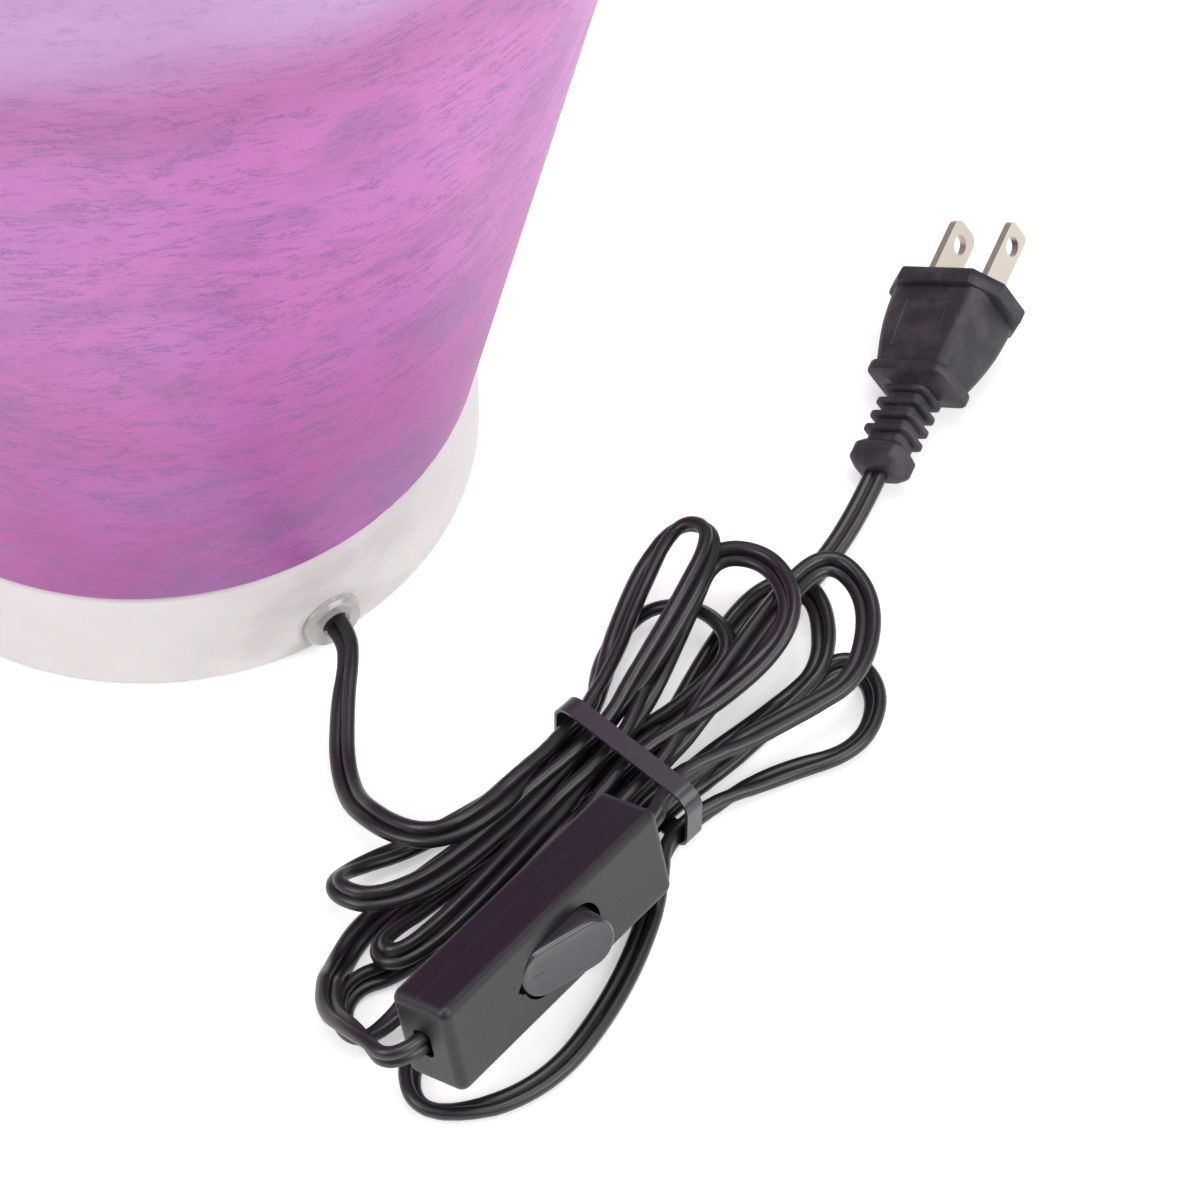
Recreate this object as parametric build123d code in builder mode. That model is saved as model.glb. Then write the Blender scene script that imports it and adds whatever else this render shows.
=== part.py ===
from build123d import *
from math import cos, dist, pi, radians, sin, tan
import os

# Accent lamp: a flared vessel of coloured glass on a frosted base, with a flat twin
# cord that lies in a tied hank, an in-line rocker switch and a moulded plug.
# Millimetres. The origin is the centre of the face that the lamp stands on, +Z is up.

os.makedirs("parts", exist_ok=True)

GAP = 0.3  # between pieces that sit close but are no fit
SLIDE = 0.1  # radial room of a turning or sliding fit
THREAD = 0.05  # radial room of a screwed fit

# Frosted base
FELT = 2.0
FELT_INSET = 3.0
PLATE = 2.0
BASE_R = 63.5
BASE_H = 28.3
BASE_WALL = 4.0
BASE_DECK = 4.0
BASE_LIFT = 0.8  # the rim stays above the felt's resting face
BASE_ROUND = 1.6
BOSS_R = 4.5
BOSS_IN = 4.6  # boss axis, inward from the cup's inner face
BOSSES = 4
SCREW_R = 1.5
SCREW_HEAD_R = 3.0
SCREW_HEAD = 1.5
SCREW_SINK = 45  # taper of the head, in degrees
SCREW_LENGTH = 11.0

# Glass vessel
GLASS_WALL = 4.0
GLASS_FLOOR = 5.0
FOOT_R = 64.3
FOOT_ROUND = 2.8
FLARE = 0.2135  # outward per unit of height
FLARE_TOP = 205.0
WAIST_ARC_R = 230.0
WAIST_ARC = 10.0  # degrees
SHOULDER_R = 46.0
SHOULDER_ARC = 80.0
NECK_R = 10.0
NECK_ARC = 60.0
LIP_ROLL = 2.6
GLASS_HOLE_R = 6.0

# Threaded pipe with its nuts and washers
PIPE_R = 4.9
PIPE_BORE_R = 3.4
PIPE_BOTTOM = 15.0
PIPE_PAST = 4.0  # the pipe's end above the socket's hub
NUT_ACROSS = 14.0
NUT = 4.5
NUT_BREAK = (1.0, 0.6)  # broken corners, across and along
LOCK_WASHER_R = 8.5
LOCK_WASHER = 0.7
DECK_WASHER_R = 15.0
DECK_WASHER = 1.3
GASKET_R = 24.0
GASKET = 1.5
GASKET_SEAT = 1.2  # depth of its seat in the base
TOP_GASKET_R = 15.0
TOP_WASHER_R = 13.0
TOP_WASHER = 1.2

# Screw socket for the bulb
SOCKET_Z = 46.0
HUB_R = 7.5
HUB = 8.0
CAP_R = 17.4
CAP_H = 14.0
CAP_WALL = 0.8
SHELL_WALL = 0.6
SHELL_LAP = 3.0
SHELL_H = 42.0
LINER = 0.5
LINER_SHORT = 1.0  # the liner ends this far under the shell's rim
INTERIOR_R = 14.8
INTERIOR_H = 14.0
INTERIOR_UP = 12.0  # its underside above the hub
INTERIOR_RIM = 4.0  # full round height over the flats
FLAT_X = 12.6
SCREW_SHELL_R = 13.3
SCREW_SHELL_WALL = 0.5
SCREW_SHELL_H = 24.0
TERMINAL_R = 2.8
TERMINAL_HEAD = 1.6
TERMINAL_SHANK_R = 1.5
TERMINAL_SHANK = 6.0
TERMINAL_UP = 5.0  # above the interior's underside
TONGUE_R = 3.2
TONGUE_H = 2.6

# Bulb
BULB_BASE_R = 13.0
BULB_BASE_H = 25.4
BULB_R = 24.0
BULB_H = 87.0
BULB_NECK_R = 12.2
BULB_WALL = 0.8
BULB_SEAT = 4.0  # depth of the glass in the metal base
BULB_SWELL_R = 22.0
EYELET = 1.2
INSULATOR = (11.5, 4.5)  # radius and height of the black foot
BULB_THREAD_UP = 6.0

# Cord: its round tube has the section area of the flat twin cord, 5.3 by 2.7
CORD_D = 3.75
WIRE_D = 1.7
WIRE_APART = 1.9
INNER_BEND = 9.0
WIRE_BEND = 1.8
WIRE_PAST = 2.0  # the inner cord ends this far above the pipe

# Grommet in the base's wall
GLAND_ANGLE = -55.5  # from +X, seen from above
GLAND_Z = 7.8
GROMMET_R = 6.2
GROMMET_OUT = 1.8
GROMMET_IN = 1.6
GROMMET_NECK_R = 4.1
GROMMET_BORE_R = 3.0
GROMMET_EDGE = 0.7

# In-line switch, lying tilted over the cord
SWITCH_AT = Vector(75.4, -132.9, 20.5)
SWITCH_ALONG = Vector(0.612, 0.783, -0.110)
SWITCH_FACE = Vector(0.771, -0.561, 0.301)
SWITCH_L = 62.0
SWITCH_W = 20.0
SWITCH_T = 13.2
SWITCH_WALL = 1.8
SWITCH_ROUND = 2.2
SEAM = -0.6  # height of the joint between the covers, from the middle
SLOT_L = 22.4
SLOT_W = 11.4
SLOT_NOTCH = 1.1
ROCKER_L = 20.6
ROCKER_W = 10.8
ROCKER_END = 4.7  # top of the rocker's ends over its pins
ROCKER_DIP = 3.6
ROCKER_SKIRT = 0.6
ROCKER_ROUND = 0.5
ROCKER_PIVOT = 3.4  # pins above the middle of the switch
ROCKER_REST = 11.0  # degrees that the rocker leans to its pressed end
PIN_R = 1.05
PIN_END = 7.1
EAR_GAP = 0.2  # between the opening's side and the ear
EAR = 1.4
EAR_L = 5.2
SLEEVE_R = 2.3
SLEEVE = 3.6
PLUNGER_R = 1.25
PLUNGER_TOP = -2.2
PLUNGER_TIP = -6.2
BORE_TOP = 2.4
SPRING_WIRE = 0.3
SPRING_TURNS = 5
LEVER_L = 14.0
LEVER_W = 4.0
LEVER = 0.6
LEVER_LUG = 1.0
LEVER_PIVOT = -3.2
LEVER_RATIO = -0.5  # lever's turn to rocker's turn
CONTACT_IN = 1.2  # contact dimple, inward from the lever's end
CONTACT_R = 0.9
CONTACT_H = 0.25
STRIP = 0.45
STRIP_W = 2.6
BRACKET_W = 2.4
BRACKET_TAB = 0.5
TERMINAL_X = 14.0
TERMINAL_Y = 5.0
POST_R = 2.0
TERMINAL_CAP = 1.2
SCREW_X = 19.5
SWITCH_BOSS_R = 2.3
SWITCH_SCREW_R = 1.1
SWITCH_SCREW_HEAD_R = 2.0
SWITCH_SCREW_HEAD = 1.4
SWITCH_SCREW_L = 7.8
SCREW_SKIN = 0.5  # plastic left past a screw's pilot hole
CROSS_L = 2.8
CROSS_W = 0.5
CORD_IN = 6.0  # how far the cord goes into the switch
SLOT_CORD_W = 5.9
SLOT_CORD_H = 3.95
SLOT_CORD_ROUND = 1.2
RIB = 1.2
RIB_OUT = 1.0  # the clamp rib starts this far outside the cord's end
LEAD_Z = -3.45
LEAD_STEP = 2.0  # along the switch, each side of a conductor's slope

# Plug, lying on a corner of its flange
PLUG_AT = Vector(158.5, 22.5, 12.9)
PLUG_SIDE = Vector(0.773, -0.419, 0.476)
PLUG_OUT = Vector(0.400, 0.905, 0.147)
FLANGE_W = 27.0
FLANGE_H = 19.0
FLANGE_T = 3.6
FLANGE_CUT = 5.0
FLANGE_ROUND = 1.0
GRIP_L = 17.0
GRIP_FRONT = (11.5, 8.5)  # half width and half thickness
GRIP_BACK = (8.0, 5.8)
GRIP_DIP = 0.7
GRIP_ROUND = 2.2
PANEL = 10.5  # sunk square on each broad side of the grip
PANEL_ROUND = 2.0
PANEL_DEPTH = 0.5
SHOULDER = (10.0, 6.3)
SHOULDER_ROUND = 3.0
SHOULDER_L = 2.5
SHOULDER_BACK = (6.8, 4.6)
NECK_CORE = (4.6, 3.6)
NECK_ROUND = 2.0
RIB_HALF = (6.3, 4.8)
PLUG_RIBS = 4
RIB_PITCH = 3.3
RIB_T = 1.9
COLLAR = (6.0, 4.7)
COLLAR_BACK = (4.3, 3.4)
COLLAR_L = 5.0
PLUG_L = 45.0
BLADE_APART = 12.7
BLADE_L = 16.5
BLADE_T = 1.5
BLADE_W = 6.35
NEUTRAL_W = 7.94
BLADE_HOLE_R = 2.0
BLADE_HOLE = 12.2
BLADE_IN = 10.0
BLADE_TIP_R = 1.2
NEUTRAL_TIP_R = 2.2
NEUTRAL_NECK = 2.5

# Hank: loops drawn in side by side at the waist, in two rows
HANK_AT = (92.5, -87.7)
HANK_ANGLE = 47.0
LOW = 3.5
HIGH = 9.3
LOOP_DROP = 0.5  # the loops lie this much lower than the waist
PITCH = 4.6
WAIST = 5.0
MIDDLE = 4  # number of the middle column
TIE_W = 4.0
TIE_T = 0.6
TIE_ROUND = 4.0
TIE_HALF = 16.4  # half width of the room inside
TIE_LOW = 0.7
TIE_HIGH = 15.2
STRAIGHT = (8.0, 6.0, 10.0)  # straight cord out of the switch's two ends and the plug
NECK = 0.72  # share of a loop's half width where it narrows to the waist


def save(piece, name):
    """Label the solid and write it as its own file"""
    piece.part.label = name
    export_step(piece.part, f"parts/{name}.step")


def unit(angle):
    """Level unit vector at an angle from +X"""
    return Vector(cos(radians(angle)), sin(radians(angle)))


def tube(points, diameter):
    """Round tube along straight runs that are joined by tangent arcs; gives its path too"""
    corners = [Vector(*p) for p in points]
    runs = [b - a for a, b in zip(corners, corners[1:])]
    radii = []
    for before, after in zip(runs, runs[1:]):
        half_turn = radians(before.get_angle(after)) / 2
        radii.append(0.45 * min(before.length, after.length) / tan(half_turn))
    with BuildPart() as piece:
        with BuildLine() as route:
            FilletPolyline(*corners, radius=radii)
        with BuildSketch(Plane(origin=route.line @ 0, z_dir=route.line % 0)):
            Circle(diameter / 2)
        sweep()
    path = route.wire()
    section = pi * diameter**2 / 4
    print(f"tube {path.length:.1f} long, least radius {min(radii):.1f},",
          f"volume {piece.part.volume:.0f} for {section * path.length:.0f}")
    return piece, path


def wires(routes):
    """Several insulated wires as the separate solids of one node"""
    with BuildPart() as piece:
        for corners in routes:
            with BuildLine() as route:
                FilletPolyline(*corners, radius=WIRE_BEND)
            with BuildSketch(Plane(origin=route.line @ 0, z_dir=route.line % 0)):
                Circle(WIRE_D / 2)
            sweep(path=route.line)
    return piece


def disc(name, radius, low, high, bore=None):
    """Flat round piece about the lamp's axis, with a round hole where a bore is given"""
    with BuildPart() as piece:
        with BuildSketch(Plane.XY.offset(low)):
            Circle(radius)
            if bore:
                Circle(bore, mode=Mode.SUBTRACT)
        extrude(amount=high - low)
    save(piece, name)


def nut(low, name):
    """Hexagon nut on the pipe, with its corners broken"""
    corner = NUT_ACROSS / 2 / cos(radians(30))
    face_r = corner - NUT_BREAK[0]
    high = low + NUT
    with BuildPart() as piece:
        with BuildSketch(Plane.XY.offset(low)):
            RegularPolygon(NUT_ACROSS / 2, 6, major_radius=False)
        extrude(amount=NUT)
        with BuildSketch(Plane.XZ):
            with BuildLine():
                Polyline((0, low), (face_r, low), (corner, low + NUT_BREAK[1]),
                         (corner, high - NUT_BREAK[1]), (face_r, high), (0, high), close=True)
            make_face()
        revolve(axis=Axis.Z, mode=Mode.INTERSECT)
        with BuildSketch(Plane.XY.offset(low)):
            Circle(PIPE_R + THREAD)
        extrude(amount=NUT, mode=Mode.SUBTRACT)
    save(piece, name)


# Base: felt, steel plate, frosted cup and the screws between them
cup_inner_r = BASE_R - BASE_WALL
plate_z = FELT
plate_top = plate_z + PLATE
deck_low = BASE_H - BASE_DECK
boss_ring_r = cup_inner_r - BOSS_IN
boss_start = GLAND_ANGLE + 180 / BOSSES
flange_sag = cup_inner_r - (cup_inner_r**2 - GROMMET_R**2) ** 0.5
flange_in = BASE_WALL + flange_sag + SLIDE
gland = Plane(origin=unit(GLAND_ANGLE) * BASE_R + Vector(0, 0, GLAND_Z),
              x_dir=(0, 0, 1), z_dir=unit(GLAND_ANGLE))

disc("felt_pad", cup_inner_r - FELT_INSET, 0, FELT)

with BuildPart() as bottom_plate:
    with BuildSketch(Plane.XY.offset(plate_z)):
        Circle(cup_inner_r - GAP)
    extrude(amount=PLATE)
    with BuildSketch(Plane.XY.offset(plate_z)):
        with PolarLocations(boss_ring_r, BOSSES, start_angle=boss_start):
            Circle(SCREW_HEAD_R + SLIDE)
    extrude(amount=PLATE, taper=SCREW_SINK, mode=Mode.SUBTRACT)
    with BuildSketch(Plane.XY.offset(plate_z)):
        with PolarLocations(boss_ring_r, BOSSES, start_angle=boss_start):
            Circle(SCREW_R + SLIDE)
    extrude(amount=PLATE, mode=Mode.SUBTRACT)
    with BuildSketch(gland.offset(-flange_in - GROMMET_IN - GAP)):
        Rectangle(4 * GLAND_Z, 2 * (GROMMET_R + GAP))
    extrude(amount=BASE_WALL + BASE_R / 2, mode=Mode.SUBTRACT)
save(bottom_plate, "bottom_plate")

with BuildPart() as plate_screws:
    with BuildSketch(Plane.XY.offset(plate_z)):
        with PolarLocations(boss_ring_r, BOSSES, start_angle=boss_start):
            Circle(SCREW_HEAD_R)
    extrude(amount=SCREW_HEAD, taper=SCREW_SINK)
    with BuildSketch(Plane.XY.offset(plate_z)):
        with PolarLocations(boss_ring_r, BOSSES, start_angle=boss_start):
            Circle(SCREW_R)
    extrude(amount=SCREW_LENGTH)
    with BuildSketch(Plane.XY.offset(plate_z)):
        with PolarLocations(boss_ring_r, BOSSES, start_angle=boss_start):
            Rectangle(SCREW_HEAD_R, SCREW_HEAD_R / 4)
    extrude(amount=SCREW_HEAD / 2, mode=Mode.SUBTRACT)
save(plate_screws, "plate_screws")

with BuildPart() as base_cup:
    with BuildSketch(Plane.XY.offset(BASE_LIFT)):
        Circle(BASE_R)
    extrude(amount=BASE_H - BASE_LIFT)
    fillet(base_cup.edges(), BASE_ROUND)
    with BuildSketch(Plane.XY.offset(BASE_LIFT)):
        Circle(cup_inner_r)
    extrude(amount=deck_low - BASE_LIFT, mode=Mode.SUBTRACT)
    with BuildSketch(Plane.XY.offset(plate_top)):
        with PolarLocations(boss_ring_r, BOSSES, start_angle=boss_start):
            Circle(BOSS_R)
    extrude(amount=deck_low - plate_top)
    with BuildSketch(Plane.XY.offset(plate_top)):
        with PolarLocations(boss_ring_r, BOSSES, start_angle=boss_start):
            Circle(SCREW_R + THREAD)
    extrude(amount=SCREW_LENGTH, mode=Mode.SUBTRACT)
    with BuildSketch(Plane.XY.offset(BASE_H)):
        Circle(GASKET_R + SLIDE)
    extrude(amount=-GASKET_SEAT, mode=Mode.SUBTRACT)
    with BuildSketch(Plane.XY.offset(deck_low)):
        Circle(GLASS_HOLE_R)
    extrude(amount=BASE_DECK, mode=Mode.SUBTRACT)
    with BuildSketch(gland.offset(GROMMET_R)):
        Circle(GROMMET_NECK_R + THREAD)
    extrude(amount=-2 * GROMMET_R - BASE_WALL, mode=Mode.SUBTRACT)
save(base_cup, "base_cup")

# Grommet: a soft spool in the wall, turned about the cord's way out
with BuildPart() as cord_grommet:
    with BuildSketch(Plane(origin=gland.origin, x_dir=gland.x_dir, z_dir=-gland.y_dir)):
        with BuildLine():
            flange_r = GROMMET_R - GROMMET_EDGE
            Polyline((GROMMET_BORE_R, GROMMET_OUT), (flange_r, GROMMET_OUT),
                     (GROMMET_R, GROMMET_OUT - GROMMET_EDGE), (GROMMET_R, THREAD),
                     (GROMMET_NECK_R, THREAD), (GROMMET_NECK_R, -flange_in),
                     (GROMMET_R, -flange_in), (flange_r, -flange_in - GROMMET_IN),
                     (GROMMET_BORE_R, -flange_in - GROMMET_IN), close=True)
        make_face()
    revolve(axis=Axis(gland.origin, gland.z_dir))
save(cord_grommet, "cord_grommet")

# Glass vessel: a straight flare, a soft belly, a round shoulder and a short neck
gasket_low = BASE_H - GASKET_SEAT
foot_z = gasket_low + GASKET
floor_z = foot_z + GLASS_FLOOR
foot_turn = Vector(1, 0).get_angle(Vector(FLARE, 1))
side_z = foot_z + FOOT_ROUND * (1 - cos(radians(foot_turn)))


def side_r(z, wall):
    """Radius of the straight flare at a height, moved inward by the wall"""
    return FOOT_R + FLARE * (z - side_z) - wall * (1 + FLARE**2) ** 0.5


def vessel_side(low_z, wall):
    """Side of the vessel from a height to the end of its neck, moved inward by the wall"""
    top_z = FLARE_TOP + wall * FLARE / (1 + FLARE**2) ** 0.5
    flare = Line((side_r(low_z, wall), low_z), (side_r(top_z, wall), top_z))
    belly = JernArc(flare @ 1, flare % 1, WAIST_ARC_R - wall, WAIST_ARC)
    shoulder = JernArc(belly @ 1, belly % 1, SHOULDER_R - wall, SHOULDER_ARC)
    neck = JernArc(shoulder @ 1, shoulder % 1, NECK_R + wall, -NECK_ARC)
    return flare @ 0, neck @ 1, neck % 1


with BuildPart() as glass_body:
    with BuildSketch(Plane.XZ):
        with BuildLine():
            outer_low, outer_top, upward = vessel_side(side_z, 0)
            inner_low, inner_top, _ = vessel_side(floor_z, GLASS_WALL)
            ThreePointArc(outer_top, (outer_top + inner_top) / 2 + upward * LIP_ROLL, inner_top)
            foot_start = (FOOT_R - FOOT_ROUND * sin(radians(foot_turn)), foot_z)
            JernArc(foot_start, (1, 0), FOOT_ROUND, foot_turn)
            Polyline(foot_start, (GLASS_HOLE_R, foot_z), (GLASS_HOLE_R, floor_z), inner_low)
        make_face()
    revolve(axis=Axis.Z)
save(glass_body, "glass_body")
print(f"glass {glass_body.part.bounding_box().size.X:.1f} across, its lip at",
      f"{glass_body.part.bounding_box().max.Z:.1f}, mouth radius {inner_top.X:.1f}")

# Pipe with nuts, washers and gaskets, which clamps the glass to the base
top_washer_z = floor_z + GASKET
top_nut_z = top_washer_z + TOP_WASHER
cap_low = SOCKET_Z + HUB
pipe_top = cap_low + PIPE_PAST
deck_washer_z = deck_low - DECK_WASHER
lock_washer_z = deck_washer_z - LOCK_WASHER

disc("deck_washer", DECK_WASHER_R, deck_washer_z, deck_low, PIPE_R + SLIDE)
disc("lock_washer", LOCK_WASHER_R, lock_washer_z, deck_washer_z, PIPE_R + SLIDE)
disc("seat_gasket", GASKET_R, gasket_low, foot_z, PIPE_R + SLIDE)
disc("top_gasket", TOP_GASKET_R, floor_z, top_washer_z, PIPE_R + SLIDE)
disc("top_washer", TOP_WASHER_R, top_washer_z, top_nut_z, PIPE_R + SLIDE)
nut(lock_washer_z - NUT, "bottom_nut")
nut(top_nut_z, "top_nut")
disc("lamp_pipe", PIPE_R, PIPE_BOTTOM, pipe_top, PIPE_BORE_R)

# Screw socket: cap, shell, paper liner, moulded interior and the parts that touch the bulb
cap_top = cap_low + CAP_H
shell_r = CAP_R - CAP_WALL - SLIDE
shell_low = cap_top - SHELL_LAP
liner_r = shell_r - SHELL_WALL - SLIDE
interior_low = cap_low + INTERIOR_UP
interior_top = interior_low + INTERIOR_H
terminal_z = interior_low + TERMINAL_UP

with BuildPart() as socket_cap:
    with BuildSketch(Plane.XZ):
        with BuildLine():
            bowl = CAP_R - HUB_R
            Polyline((HUB_R, cap_low), (0, cap_low), (0, cap_top), (CAP_R, cap_top),
                     (CAP_R, cap_low + bowl))
            JernArc((CAP_R, cap_low + bowl), (0, -1), bowl, -90)
        make_face()
    revolve(axis=Axis.Z)
    offset(amount=-CAP_WALL, openings=socket_cap.faces().sort_by(Axis.Z)[-1])
    with BuildSketch(Plane.XY.offset(SOCKET_Z)):
        Circle(HUB_R)
    extrude(amount=HUB)
    with BuildSketch(Plane.XY.offset(SOCKET_Z)):
        Circle(PIPE_R + THREAD)
    extrude(amount=HUB + CAP_H / 2, mode=Mode.SUBTRACT)
save(socket_cap, "socket_cap")

with BuildPart() as socket_shell:
    with BuildSketch(Plane.XY.offset(shell_low)):
        Circle(shell_r)
        Circle(shell_r - SHELL_WALL, mode=Mode.SUBTRACT)
    extrude(amount=SHELL_H)
    with BuildSketch(Plane.XZ):
        with Locations((shell_r, shell_low + SHELL_H)):
            Circle(SHELL_WALL)
    revolve(axis=Axis.Z)
save(socket_shell, "socket_shell")

disc("socket_liner", liner_r, shell_low + LINER, shell_low + SHELL_H - LINER_SHORT, liner_r - LINER)

with BuildPart() as socket_interior:
    with BuildSketch(Plane.XY.offset(interior_low)):
        Circle(INTERIOR_R)
    extrude(amount=INTERIOR_H)
    with BuildSketch(Plane.XY.offset(interior_low)):
        with Locations((FLAT_X + INTERIOR_R, 0), (-FLAT_X - INTERIOR_R, 0)):
            Rectangle(2 * INTERIOR_R, 2 * INTERIOR_R)
    extrude(amount=INTERIOR_H - INTERIOR_RIM, mode=Mode.SUBTRACT)
    with BuildSketch(Plane.YZ):
        with Locations((0, terminal_z)):
            Circle(TERMINAL_SHANK_R + THREAD)
    extrude(amount=INTERIOR_R, both=True, mode=Mode.SUBTRACT)
    with BuildSketch(Plane.YZ):
        with Locations((0, terminal_z)):
            Circle(TERMINAL_SHANK_R + THREAD)
    extrude(amount=FLAT_X - TERMINAL_SHANK - GAP, both=True)
save(socket_interior, "socket_interior")

with BuildPart() as terminal_screws:
    for side in (1, -1):
        seat = Plane(origin=(side * (FLAT_X + SLIDE), 0, terminal_z), z_dir=(side, 0, 0))
        with BuildSketch(seat):
            Circle(TERMINAL_R)
        extrude(amount=TERMINAL_HEAD)
        with BuildSketch(seat):
            Circle(TERMINAL_SHANK_R)
        extrude(amount=-TERMINAL_SHANK)
        with BuildSketch(seat.offset(TERMINAL_HEAD)):
            Rectangle(2 * TERMINAL_R, TERMINAL_R / 4)
        extrude(amount=-TERMINAL_HEAD / 2, mode=Mode.SUBTRACT)
save(terminal_screws, "terminal_screws")

with BuildPart() as screw_shell:
    with BuildSketch(Plane.XY.offset(interior_top)):
        Circle(SCREW_SHELL_R + SCREW_SHELL_WALL)
    extrude(amount=SCREW_SHELL_H)
    with BuildSketch(Plane.XY.offset(interior_top + SCREW_SHELL_WALL)):
        Circle(SCREW_SHELL_R)
    extrude(amount=SCREW_SHELL_H, mode=Mode.SUBTRACT)
    with BuildSketch(Plane.XY.offset(interior_top)):
        Circle(SCREW_SHELL_R / 2)
    extrude(amount=SCREW_SHELL_H, mode=Mode.SUBTRACT)
save(screw_shell, "screw_shell")

disc("centre_contact", TONGUE_R, interior_top, interior_top + TONGUE_H)

# Bulb, screwed down to the centre contact
bulb_low = interior_top + TONGUE_H
bulb_rim = bulb_low + BULB_BASE_H
bulb_seat = bulb_rim - BULB_SEAT
globe_z = bulb_low + BULB_H - BULB_R
swell_x = BULB_NECK_R + BULB_SWELL_R
swell_z = globe_z - ((BULB_R + BULB_SWELL_R) ** 2 - swell_x**2) ** 0.5
swell_turn = Vector(0, 1).get_angle(Vector(swell_x, swell_z - globe_z)) - 90


def bulb_side(wall):
    """Side of the bulb from its seat to its top, moved inward by the wall"""
    neck = Line((BULB_NECK_R - wall, bulb_seat), (BULB_NECK_R - wall, swell_z))
    swell = JernArc(neck @ 1, (0, 1), BULB_SWELL_R + wall, -swell_turn)
    globe = JernArc(swell @ 1, swell % 1, BULB_R - wall, 90 + swell_turn)
    return neck @ 0, globe @ 1


with BuildPart() as bulb_base:
    with BuildSketch(Plane.XZ):
        with BuildLine():
            Polyline((0, bulb_low), (TONGUE_R, bulb_low), (TONGUE_R + EYELET, bulb_low + EYELET),
                     (INSULATOR[0], bulb_low + INSULATOR[1]),
                     (BULB_BASE_R, bulb_low + BULB_THREAD_UP), (BULB_BASE_R, bulb_rim),
                     (BULB_NECK_R + THREAD, bulb_rim), (BULB_NECK_R + THREAD, bulb_seat),
                     (0, bulb_seat), close=True)
        make_face()
    revolve(axis=Axis.Z)
save(bulb_base, "bulb_base")

with BuildPart() as bulb_glass:
    with BuildSketch(Plane.XZ):
        with BuildLine():
            glass_low, glass_top = bulb_side(0)
            inside_low, inside_top = bulb_side(BULB_WALL)
            Line(glass_low, inside_low)
            Line(glass_top, inside_top)
        make_face()
    revolve(axis=Axis.Z)
save(bulb_glass, "bulb_glass")

# Cord inside the lamp, from the grommet's outer face up through the pipe
grommet_face = gland.origin + gland.z_dir * GROMMET_OUT
inner_top_z = pipe_top + WIRE_PAST
with BuildPart() as inner_cord:
    with BuildLine() as inner_route:
        FilletPolyline(grommet_face, (0, 0, GLAND_Z), (0, 0, inner_top_z), radius=INNER_BEND)
    with BuildSketch(Plane(origin=grommet_face, z_dir=-gland.z_dir)):
        Circle(CORD_D / 2)
    sweep()
save(inner_cord, "inner_cord")

lead_x = FLAT_X + SLIDE + WIRE_D / 2
lead_z = interior_low - GAP - WIRE_D
socket_leads = wires(
    [[(side * WIRE_APART / 2, 0, inner_top_z), (side * WIRE_APART / 2, 0, lead_z),
      (side * lead_x, 0, lead_z), (side * lead_x, 0, terminal_z - TERMINAL_R)]
     for side in (1, -1)])
save(socket_leads, "socket_leads")


# In-line switch, in its own frame: x along the cord, z out of its face
def frame_at(at, along, face):
    """Frame at a place, its z out of the face and its x along the piece"""
    across = face.cross(along)
    return Plane(origin=at, x_dir=across.cross(face), z_dir=face)


def side_of(frame):
    """Plane of a frame's x and z, for outlines seen from the side"""
    return Plane(origin=frame.origin, x_dir=frame.x_dir, z_dir=-frame.y_dir)


def tilted(frame, lift, angle):
    """Frame moved up along its z and turned about its y, in degrees"""
    lean = radians(angle)
    return Plane(origin=frame.origin + frame.z_dir * lift,
                 x_dir=frame.x_dir * cos(lean) - frame.z_dir * sin(lean),
                 z_dir=frame.x_dir * sin(lean) + frame.z_dir * cos(lean))


def end_of(frame, x):
    """Plane across a frame's length at x, with the frame's y and z"""
    return Plane(origin=frame.origin + frame.x_dir * x, x_dir=frame.y_dir, z_dir=frame.x_dir)


switch = frame_at(SWITCH_AT, SWITCH_ALONG, SWITCH_FACE)
half_l = SWITCH_L / 2
cord_end = half_l - CORD_IN
rib_x = cord_end + RIB_OUT + RIB / 2
room_w = SWITCH_W - 2 * SWITCH_WALL
floor_in = SWITCH_T / 2 - SWITCH_WALL


def cover_half(face):
    """Shell, screw bosses, clamp ribs and cord slots of the front (1) or back (-1) cover"""
    with BuildPart() as half:
        with BuildSketch(switch.offset(SEAM)):
            RectangleRounded(SWITCH_L, SWITCH_W, SWITCH_ROUND)
        extrude(amount=face * SWITCH_T / 2 - SEAM)
        outward = Axis(switch.origin, switch.z_dir * face)
        fillet(half.faces().sort_by(outward)[-1].edges(), SWITCH_ROUND - GAP)
        with BuildSketch(switch.offset(SEAM)):
            RectangleRounded(SWITCH_L - 2 * SWITCH_WALL, room_w, SWITCH_ROUND / 2)
        extrude(amount=face * floor_in - SEAM, mode=Mode.SUBTRACT)
        with BuildSketch(switch.offset(SEAM)):
            with Locations((SCREW_X, 0), (-SCREW_X, 0)):
                Circle(SWITCH_BOSS_R)
            with Locations((rib_x, 0), (-rib_x, 0)):
                Rectangle(RIB, room_w)
        extrude(amount=face * floor_in - SEAM)
        for x in (cord_end, -half_l):
            with BuildSketch(end_of(switch, x)):
                with Locations((0, SEAM)):
                    RectangleRounded(SLOT_CORD_W, SLOT_CORD_H, SLOT_CORD_ROUND)
            extrude(amount=CORD_IN, mode=Mode.SUBTRACT)
    return half.part


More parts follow.
